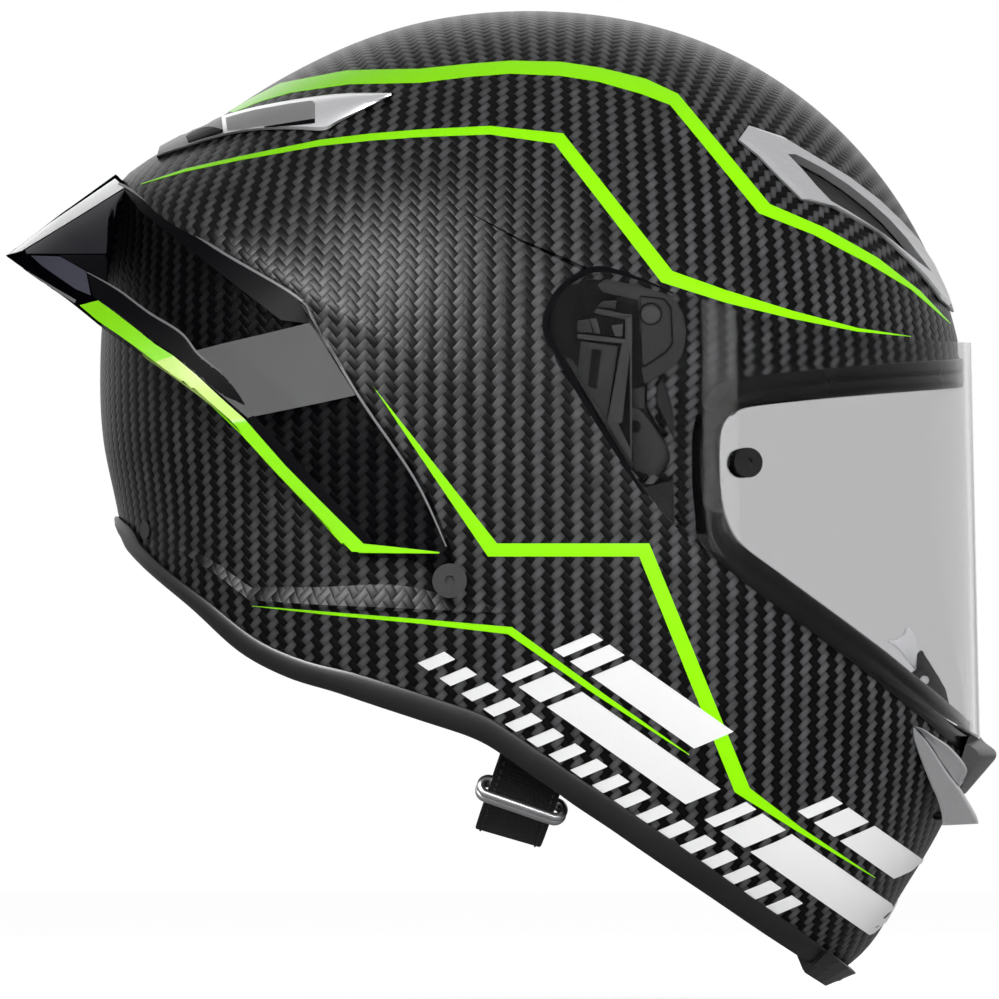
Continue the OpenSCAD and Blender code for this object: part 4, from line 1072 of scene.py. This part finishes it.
lipBlack = mouldedMaterial("lipBlack", (0.035, 0.035, 0.036), 0.4, bump=0.00003)


def finPlace(at, d, left=False):  # the fins stand on a plane that leans in towards the front
    corners = np.array(chin["plane"])
    fit = np.linalg.lstsq(np.c_[corners[:, 0], corners[:, 2], np.ones(len(corners))], corners[:, 1], rcond=None)[0]
    p = np.array([at[0], fit[0] * at[0] + fit[1] * at[1] + fit[2] - chin["proud"] - d, at[1]])
    return p * mirror if left else p


def fin(name, part, left, *nodes):
    a, b = (curved(edge, 5) for edge in edgesOf(chin[part]))
    profile = chin[part + "Profile"]
    rings = [np.array([finPlace(p + (q - p) * share, d, left) for share, d in profile]) for p, q in zip(a, b)]
    dressed(sided(name, left), rings, silver, 28, "helmet", "silver_trim", *nodes)


def makeChin():
    for left in sides:
        fin("finBlade", "blade", left, sided("chin_vent_fin_", left).lower())
        fin("finScoop", "scoop", left)
    outline = rounded([photo(*p) for p in chin["lip"]], 1.2, 3)
    half, middle = chin["lipHalf"], outline.mean(0)
    rings = []
    for y in np.linspace(-half, half, 41):
        back, lower = chin["lipBow"] * (y / half) ** 2, chin["lipDrop"] * abs(y) / half
        inset = chin["lipEndScale"] if abs(y) > half - chin["lipEnd"] else 1
        own = middle + (outline - middle) * inset
        rings.append(np.array([[x - back - (lower if x > chin["lipNose"] else 0), y, z] for x, z in own]))
    dressed("chinLip", rings, lipBlack, 30, "helmet", "gloss_black", "chin_vent_cover")


makeChin()
print("chin made")

# The works behind the visor's corner: flat mouldings, as [outline in pixels, lowest and highest |y|, tone]; the tones
# are painted shade, plain and painted highlight on the same black nylon
works = {
    "bevel": 0.22,
    "ring": [
        [645, 494, 641, 494], [610, 440, 605.5, 440.5], [578, 388, 573, 389], [562, 357.5, 556.5, 358.5],
        [548.5, 335.5, 543.5, 336.5], [549.3, 316.5, 543.5, 315], [561.5, 294.5, 557, 290], [583, 278.5, 580.5, 272.5],
        [603, 274, 603, 268.3], [638.2, 282.6, 638.8, 279.4], [671.9, 295.6, 672.3, 294.4],
    ],
    "fixed": {
        "Deck": [[
            (596.1, 286.7), (605.9, 281), (638.2, 287.4), (663.5, 295.8), (674, 302.1), (682, 316.1), (684.5, 338.6),
            (680.3, 356.8), (670.5, 369.4), (643.1, 384.9), (641.3, 372.2), (638.2, 318.9), (636.8, 302.1), (613, 296.2),
            (601.7, 293.7)
        ], 112, 119.15, 1],
        "Groove": [[
            (638.5, 296.8), (662.8, 299.6), (670.5, 308.4), (672.2, 344.7), (665.2, 354.3), (642.4, 369.2),
            (639.9, 366.6)
        ], 118, 119.18, 0],
        "Face": [[
            (639.1, 298.6), (661.8, 301.1), (668.5, 309.4), (670.3, 343.9), (663.8, 352.6), (643, 366.6), (641.3, 363.8)
        ], 118, 119.26, 1],
        "Border": [[
            (563.6, 358.2), (571.7, 360.5), (583.8, 381.8), (607.6, 423.9), (632.6, 464.9), (628.7, 467.4)
        ], 112, 117, 1],
        "Lobe": [[
            (629.8, 408.7), (638.9, 410.4), (660.9, 438.2), (670.1, 454.3), (668, 462), (659.3, 472.6), (650.1, 475.8),
            (632.9, 469.6)
        ], 113, 115.2, 1],
        "Link": [[(631.2, 390.5), (643.8, 386.7), (643.4, 409.3), (632.6, 408.4)], 113, 115.1, 1],
    },
    "moving": {
        "Back": [[
            (577.5, 297.5), (605.5, 296.5), (605.5, 313), (625, 313.5), (627.5, 317), (630.5, 451), (624.5, 454),
            (582, 391), (572, 323)
        ], 115.4, 116.9, 0],
        "Plate": [[(580, 342.5), (616.9, 347.7), (605.9, 419.7), (576.8, 376.7)], 116.8, 117.8, 1],
        "Middle": [[(576.8, 335.3), (624.2, 340.5), (623.1, 345), (576.2, 339.7)], 116.8, 118.5, 2],
        "Top": [[
            (594.4, 309.4), (623.9, 315.8), (630.9, 315.6), (630.9, 319.5), (623.9, 320.9), (593, 314.4)
        ], 116.8, 118.5, 2],
        "Post": [[
            (624.2, 316.1), (630.9, 316.1), (630.9, 455.9), (629, 457), (629, 349.8), (621.1, 423.5), (606.2, 423.9),
            (620.8, 344.7), (624.2, 342.8)
        ], 116.8, 118.5, 2],
        "Strut": [[(606.2, 423.6), (616.5, 422.8), (630.9, 453.3), (629.8, 462)], 116.8, 118.4, 2],
        "StepA": [[(577, 322), (588.3, 320.9), (591.9, 334.1), (577, 333.5)], 116.8, 117.7, 1],
        "StepB": [[(588.5, 320.1), (595.8, 319.6), (599.5, 334.8), (593.9, 334.9)], 116.8, 118.1, 2],
        "StepC": [[(610.4, 327.6), (621.9, 325), (621.1, 337.6), (614.6, 337.5)], 116.8, 118.2, 2],
        "StepD": [[(601.7, 302.9), (615.8, 302.1), (614.1, 310), (596.1, 308.8)], 116.8, 118.1, 1],
    },
    "slot": [(591.2, 349.8), (601, 352), (595.7, 389.8), (587.1, 387)], "slotSides": (116, 119),
    "discs": [
        ("discRing", (649.4, 315.4), 11.8, 118, 119.29, 0, 0.15), ("disc", (649.4, 315.4), 9.6, 118, 119.34, 1, 0.15),
        ("screwDisc", (633.5, 427), 6.2, 113, 115.26, 0, 0),
    ],
}
worksTones = [
    mouldedMaterial("worksShadow", (0.005, 0.005, 0.005), 0.5, bump=0.00003, specular=0.05),
    mouldedMaterial("worksNylon", (0.034, 0.034, 0.035), 0.42, bump=0.00005, specular=0.06),
    mouldedMaterial("worksNylonLight", (0.05, 0.05, 0.051), 0.4, bump=0.00005, specular=0.06),
]


def flatPiece(name, outline, low, high, tone, left, bevel=None):
    side = 1 if left else -1
    piece = prism(rounded([photo(*p) for p in outline], 0.5, 2), *sorted((side * low, side * high)))
    piece.name = sided(name, left)
    if bevel is None:
        bevel = works["bevel"] if tone else 0
    if bevel:
        edge = piece.modifiers.new("bevel", "BEVEL")
        edge.width, edge.segments, edge.limit_method, edge.angle_limit = bevel * mm, 2, "ANGLE", math.radians(50)
        applyAll(piece)
    coat(piece.data, worksTones[tone])
    shade(piece, 35)
    return piece


def makeWorks(left):
    low = sided("_", left).lower()
    # A near-black ring round the recess: painted shade in the gap between visor and shell
    stripe("recessRing", works["ring"], paintedShadeBlack, left, rise=0.1, slotName="seal_rubber", soft=True)
    for key, form in works["fixed"].items():
        keep(flatPiece(f"works{key}", *form, left), "helmet", "black_trim")
    for key, form in works["moving"].items():
        piece = flatPiece(f"lever{key}", *form, left)
        if key == "Plate":
            slot = [photo(*p) for p in works["slot"]]
            cut(piece, [prism(slot, *sorted((1 if left else -1) * y for y in works["slotSides"]))])
            shade(piece, 35)
        keep(piece, f"release{low}", "black_trim", *([f"release_lever{low}"] if key == "Back" else []))
    for name, centre, radius, deep, high, tone, bevel in works["discs"]:
        keep(flatPiece(name, oval(centre, (radius, radius)), deep, high, tone, left, bevel), "helmet", "black_trim")


for left in sides:
    makeWorks(left)
print("works made")

# Stuffed pieces: their packed form is taken over evenly, filled under pressure and held along its seams
padding = {
    "voxel": 0.0045, "pressure": 4.0, "frames": 20, "most": 0.0028, "drawn": 0.0011,
    "stitch": 0.0042, "stitchLength": 0.0014, "thread": 0.0004,
}
cheekLine = np.array([
    [-44, -30], [-30, -16], [-6, -10], [22, -12], [42, -20], [52, -34], [60, -50], [64, -68], [62, -86], [56, -104],
    [44, -116], [26, -112], [6, -100], [-14, -86], [-34, -70], [-44, -50],
])


def merged(node, name):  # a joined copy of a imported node's mesh
    piece = placed(name, bpy.data.meshes.new(name))
    outwards(piece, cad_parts[node].data)
    return piece


def cheekSeams(p):  # by how far out each point lies between a pad's middle and its outline
    middle = cheekLine.mean(0)
    q = p[:, [0, 2]] - middle
    line = curved(cheekLine, 8, closed=True) - middle
    turns = np.arctan2(line[:, 1], line[:, 0])
    order = np.argsort(turns)
    far = np.interp(np.arctan2(q[:, 1], q[:, 0]), turns[order], np.hypot(*line.T)[order], period=2 * math.pi)
    share = np.hypot(*q.T) / far
    return (np.abs(share - 0.97) < 0.03) | ((np.abs(share - 0.66) < 0.03) & (np.abs(p[:, 1]) < 84))


def crownSeams(p):
    angle = np.arctan2(p[:, 1], p[:, 0] + 8)
    return (np.abs(np.sin(4 * angle)) * np.hypot(p[:, 0] + 8, p[:, 1]) < 7) | (p[:, 2] < -20)


def neckSeams(p):
    return np.abs(np.sin(p[:, 0] * math.pi / 34)) < 0.13


def stuffed(name, node, seams):
    piece = merged(node, name)
    even = piece.modifiers.new("even", "REMESH")
    even.mode, even.voxel_size = "VOXEL", padding["voxel"]
    applyAll(piece)
    start = valuesOf(piece.data.vertices, "co")
    held = seams(start / mm)
    group = piece.vertex_groups.new(name="seam")
    group.add(np.flatnonzero(held).tolist(), 1.0, "REPLACE")
    cloth = piece.modifiers.new("filling", "CLOTH")
    cloth.settings.use_pressure = True
    cloth.settings.uniform_pressure_force = padding["pressure"]
    cloth.settings.effector_weights.gravity = 0
    cloth.settings.vertex_group_mass = "seam"
    cloth.point_cache.frame_start, cloth.point_cache.frame_end = 1, padding["frames"]
    for step in range(1, padding["frames"] + 1):
        scene.frame_set(step)
    applyAll(piece)
    scene.frame_set(1)
    shift = valuesOf(piece.data.vertices, "co") - start
    length = np.linalg.norm(shift, axis=1, keepdims=True)
    shift *= np.minimum(1, padding["most"] / np.maximum(length, 1e-9))
    # The thread draws the seams in
    shift -= valuesOf(piece.data.vertices, "normal") * (held * padding["drawn"])[:, None]
    piece.data.vertices.foreach_set("co", (start + shift).ravel())
    smoother = piece.modifiers.new("smoother", "SUBSURF")
    smoother.levels = smoother.render_levels = 1
    applyAll(piece)
    coat(piece.data, knit)
    piece.data.shade_smooth()
    keep(piece, "helmet", "liner_fabric", node)
    return piece


stuffed("cheekPadRight", "cheek_pad_right", cheekSeams)
stuffed("cheekPadLeft", "cheek_pad_left", cheekSeams)
stuffed("neckRoll", "neck_roll", neckSeams)
stuffed("crownPadding", "crown_liner", crownSeams)
print("padding filled")


def stitchTree():  # stitches set along a line, with a little play in their length
    tree = bpy.data.node_groups.new("stitches", "GeometryNodeTree")
    face = tree.interface
    kinds = {"Geometry": "Geometry", "Spacing": "Float", "Length": "Float", "Thread": "Float", "Material": "Material"}
    for label, kind in kinds.items():
        face.new_socket(label, in_out="INPUT", socket_type=f"NodeSocket{kind}")
    face.new_socket("Geometry", in_out="OUTPUT", socket_type="NodeSocketGeometry")
    given = tree.nodes.new("NodeGroupInput").outputs
    line = addNode(tree, "GeometryNodeMeshToCurve", None, s0=given["Geometry"])
    points = addNode(tree, "GeometryNodeCurveToPoints", {"mode": "LENGTH"}, s0=line.outputs[0], Length=given["Spacing"])
    bead = addNode(tree, "GeometryNodeMeshIcoSphere", None, Radius=1.0, Subdivisions=2)
    play = addNode(tree, "FunctionNodeRandomValue", {"data_type": "FLOAT"}, s2=0.85, s3=1.1, Seed=11)
    longer = calc(tree, "MULTIPLY", given["Length"], play.outputs[1])
    size = addNode(tree, "ShaderNodeCombineXYZ", None, s0=given["Thread"], s1=given["Thread"], s2=longer)
    many = addNode(tree, "GeometryNodeInstanceOnPoints", None, Points=points.outputs[0], Instance=bead.outputs[0],
                   Rotation=points.outputs["Rotation"], Scale=size.outputs[0])
    real = addNode(tree, "GeometryNodeRealizeInstances", None, s0=many.outputs[0])
    painted = addNode(tree, "GeometryNodeSetMaterial", None, s0=real.outputs[0], Material=given["Material"])
    addNode(tree, "NodeGroupOutput", None, s0=painted.outputs[0])
    return tree


stitching = stitchTree()
thread = clothMaterial("seamThread", (0.03, 0.03, 0.031), 0.0006, bump=0.00005, sheen=0.1)


def stitched(name, points, bodyName, slotName):  # a row of stitches along points in millimetres
    piece = makeObject(name, points, [], edges=[(k, k + 1) for k in range(len(points) - 1)])
    step = piece.modifiers.new("stitches", "NODES")
    step.node_group = stitching
    values = {
        "Spacing": padding["stitch"], "Length": padding["stitchLength"], "Thread": padding["thread"], "Material": thread,
    }
    for item in stitching.interface.items_tree:
        if item.in_out == "INPUT" and item.name in values:
            step[item.identifier] = values[item.name]
    applyAll(piece)
    piece.data.shade_smooth()
    return keep(piece, bodyName, slotName)


# The chin strap, hung as a loop and turned a little where it leaves the helmet
strap = {
    "wide": 24.0, "thick": 1.9, "middle": -8.0,
    "run": [
        [102, -61], [102, -76], [102, -104], [98, -114], [86, -123], [66, -131], [42, -136.5], [16, -139], [0, -139.5],
    ],
    "sewnBelow": -108.0, "turn": 7.0, "tilt": 19.0, "tiltAt": -119.5, "tiltFrom": -86.0, "tiltRun": 26.0,
}


def strapPlace(run, k, across, up):  # a place on the strap: at its k-th station, across its width, above its face
    y, z = run[k]
    way = run[min(k + 1, len(run) - 1)] - run[max(k - 1, 0)]
    way = way / np.linalg.norm(way)
    out = np.array([-way[1], way[0]])
    share = k / (len(run) - 1)
    lean = math.radians(strap["turn"]) * math.sin(math.pi * share) ** 2 * math.cos(2 * math.pi * share)
    x = strap["middle"] + across * math.cos(lean)
    place = np.array([y, z]) + out * (up + across * math.sin(lean) * 0.4)
    return tilted(np.array([x, place[0], place[1]]))


def tilted(p):  # the loop hangs askew below the rim
    share = min(max((strap["tiltFrom"] - p[2]) / strap["tiltRun"], 0), 1)
    a = math.radians(strap["tilt"]) * share * share * (3 - 2 * share)
    x, z = p[0] - strap["middle"], p[2] - strap["tiltAt"]
    return np.array([
        strap["middle"] + x * math.cos(a) + z * math.sin(a), p[1], strap["tiltAt"] + z * math.cos(a) - x * math.sin(a),
    ])


def makeRings():
    for node in ("d_rings", "strap_snap"):
        piece = merged(node, node + "Tilted")
        for vertex in piece.data.vertices:
            vertex.co = Vector(tilted(np.array(vertex.co) / mm)) * mm
        coat(piece.data, steel)
        shade(piece, 40)
        keep(piece, "strap", "steel", node)


def makeStrap():
    half = curved(strap["run"], 10)
    run = np.vstack([half, (half * [-1, 1])[::-1][1:]])
    w, h = strap["wide"] / 2, strap["thick"] / 2
    lower = [(-w + 0.4, -h), (-w * 0.5, -h), (0, -h), (w * 0.5, -h), (w - 0.4, -h), (w, -h * 0.4)]
    section = lower + [(x, -up) for x, up in lower[::-1]] + [(-w, h * 0.4), (-w, -h * 0.4)]
    rings = [np.array([strapPlace(run, k, x, up) for x, up in section]) for k in range(len(run))]
    piece = dressed("chinStrap", rings, webbing, 50, "strap", "webbing", "chin_strap")
    sewn = np.flatnonzero(run[:, 1] < strap["sewnBelow"])
    for side, sideLetter in ((-1, "A"), (1, "B")):
        for up, face in ((-1, "In"), (1, "Out")):
            line = [strapPlace(run, k, side * (w - 2), up * (h + 0.1)) for k in sewn]
            stitched(f"strapStitches{sideLetter}{face}", line, "strap", "webbing")


makeStrap()
makeRings()

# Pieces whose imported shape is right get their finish
finishes = {
    foam: ["impact_liner", "chin_liner"],
    satinBlack: [
        "rim_front_cap", "spoiler_screws", "rear_plugs", "crown_vent_grille_right", "crown_vent_grille_left",
        "rear_vent_grilles", "visor_lock_base",
    ],
    silver: ["crown_vent_frame_right", "crown_vent_frame_left", "visor_lock_lever"],
    mechanism: ["pivot_base_right", "pivot_base_left", "pivot_base_screws"],
    gloss: ["tear_off_post_right", "tear_off_post_left"],
    steel: ["strap_anchors"],
}
for material, nodes in finishes.items():
    for node in nodes:
        coat(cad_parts[node].data, material)

# Floor, light and camera: [place, size, power, seen in gloss alone] of each lamp, in metres
studio = {
    "floor": -196.5, "floorHalf": 4000, "floorGlow": 0.7, "world": 0.4,
    "frameWidth": 0.34965, "lens": 1500.0, "sensor": 36.0, "middle": photo(499.5, 499.5),
    "lamps": {
        "keyLamp": [(0.5, -1.45, 0.25), (0.8, 0.55), 16, False],
        "glintLamp": [(-0.75, -1.15, 0.7), (0.7, 0.5), 145, True],
        "farLamp": [(-0.2, 1.6, 0.9), (1.6, 1.2), 6, False],
    },
}


def makeStage():
    pale = newMaterial("paleFloor", (0.7, 0.7, 0.7), 0.9, specular=0.0)
    seen = addNode(pale, "ShaderNodeLightPath").outputs["Is Camera Ray"]
    pale.node_tree.nodes["Principled BSDF"].inputs["Emission Color"].default_value = (1, 1, 1, 1)
    join(pale, calc(pale, "MULTIPLY", seen, studio["floorGlow"]), "Emission Strength")
    half, z = studio["floorHalf"], studio["floor"]
    corners = [(x * half, y * half, z) for x, y in ((-1, -1), (1, -1), (1, 1), (-1, 1))]
    floor = makeObject("floor", corners, [(0, 1, 2, 3)], pale)


def makeWorld():
    world = bpy.data.worlds.new("studio")
    scene.world = world
    world.use_nodes = True
    rays = addNode(world, "ShaderNodeLightPath").outputs
    seen = rays["Is Camera Ray"]
    for name in ("Is Glossy Ray", "Is Transmission Ray"):
        seen = calc(world, "MAXIMUM", seen, rays[name])
    strength = addNode(world, "ShaderNodeMapRange", None, Value=seen)
    strength.inputs["To Min"].default_value = studio["world"]
    background = world.node_tree.nodes["Background"]
    background.inputs["Color"].default_value = (1, 1, 1, 1)
    world.node_tree.links.new(strength.outputs[0], background.inputs["Strength"])


def makeLamp(name, place, size, power, glossOnly):
    lamp = bpy.data.lights.new(name, "AREA")
    lamp.shape, lamp.size, lamp.size_y, lamp.energy = "RECTANGLE", size[0], size[1], power
    holder = placed(name, lamp)
    holder.location = place
    holder.rotation_euler = (-Vector(place)).to_track_quat("-Z", "Y").to_euler()
    holder.visible_diffuse = not glossOnly
    holder.visible_transmission = not glossOnly


def makeCamera():
    data = bpy.data.cameras.new("camera")
    data.lens, data.sensor_width = studio["lens"], studio["sensor"]
    distance = studio["frameWidth"] / studio["sensor"] * studio["lens"]
    data.clip_start, data.clip_end = 0.1, distance * 2
    camera = placed("camera", data)
    x, z = studio["middle"]
    camera.location = (x * mm, -distance, z * mm)
    camera.rotation_euler = (math.pi / 2, 0, 0)
    scene.camera = camera


makeStage()
makeWorld()
for name, lamp in studio["lamps"].items():
    makeLamp(name, *lamp)
makeCamera()
print("stage ready")
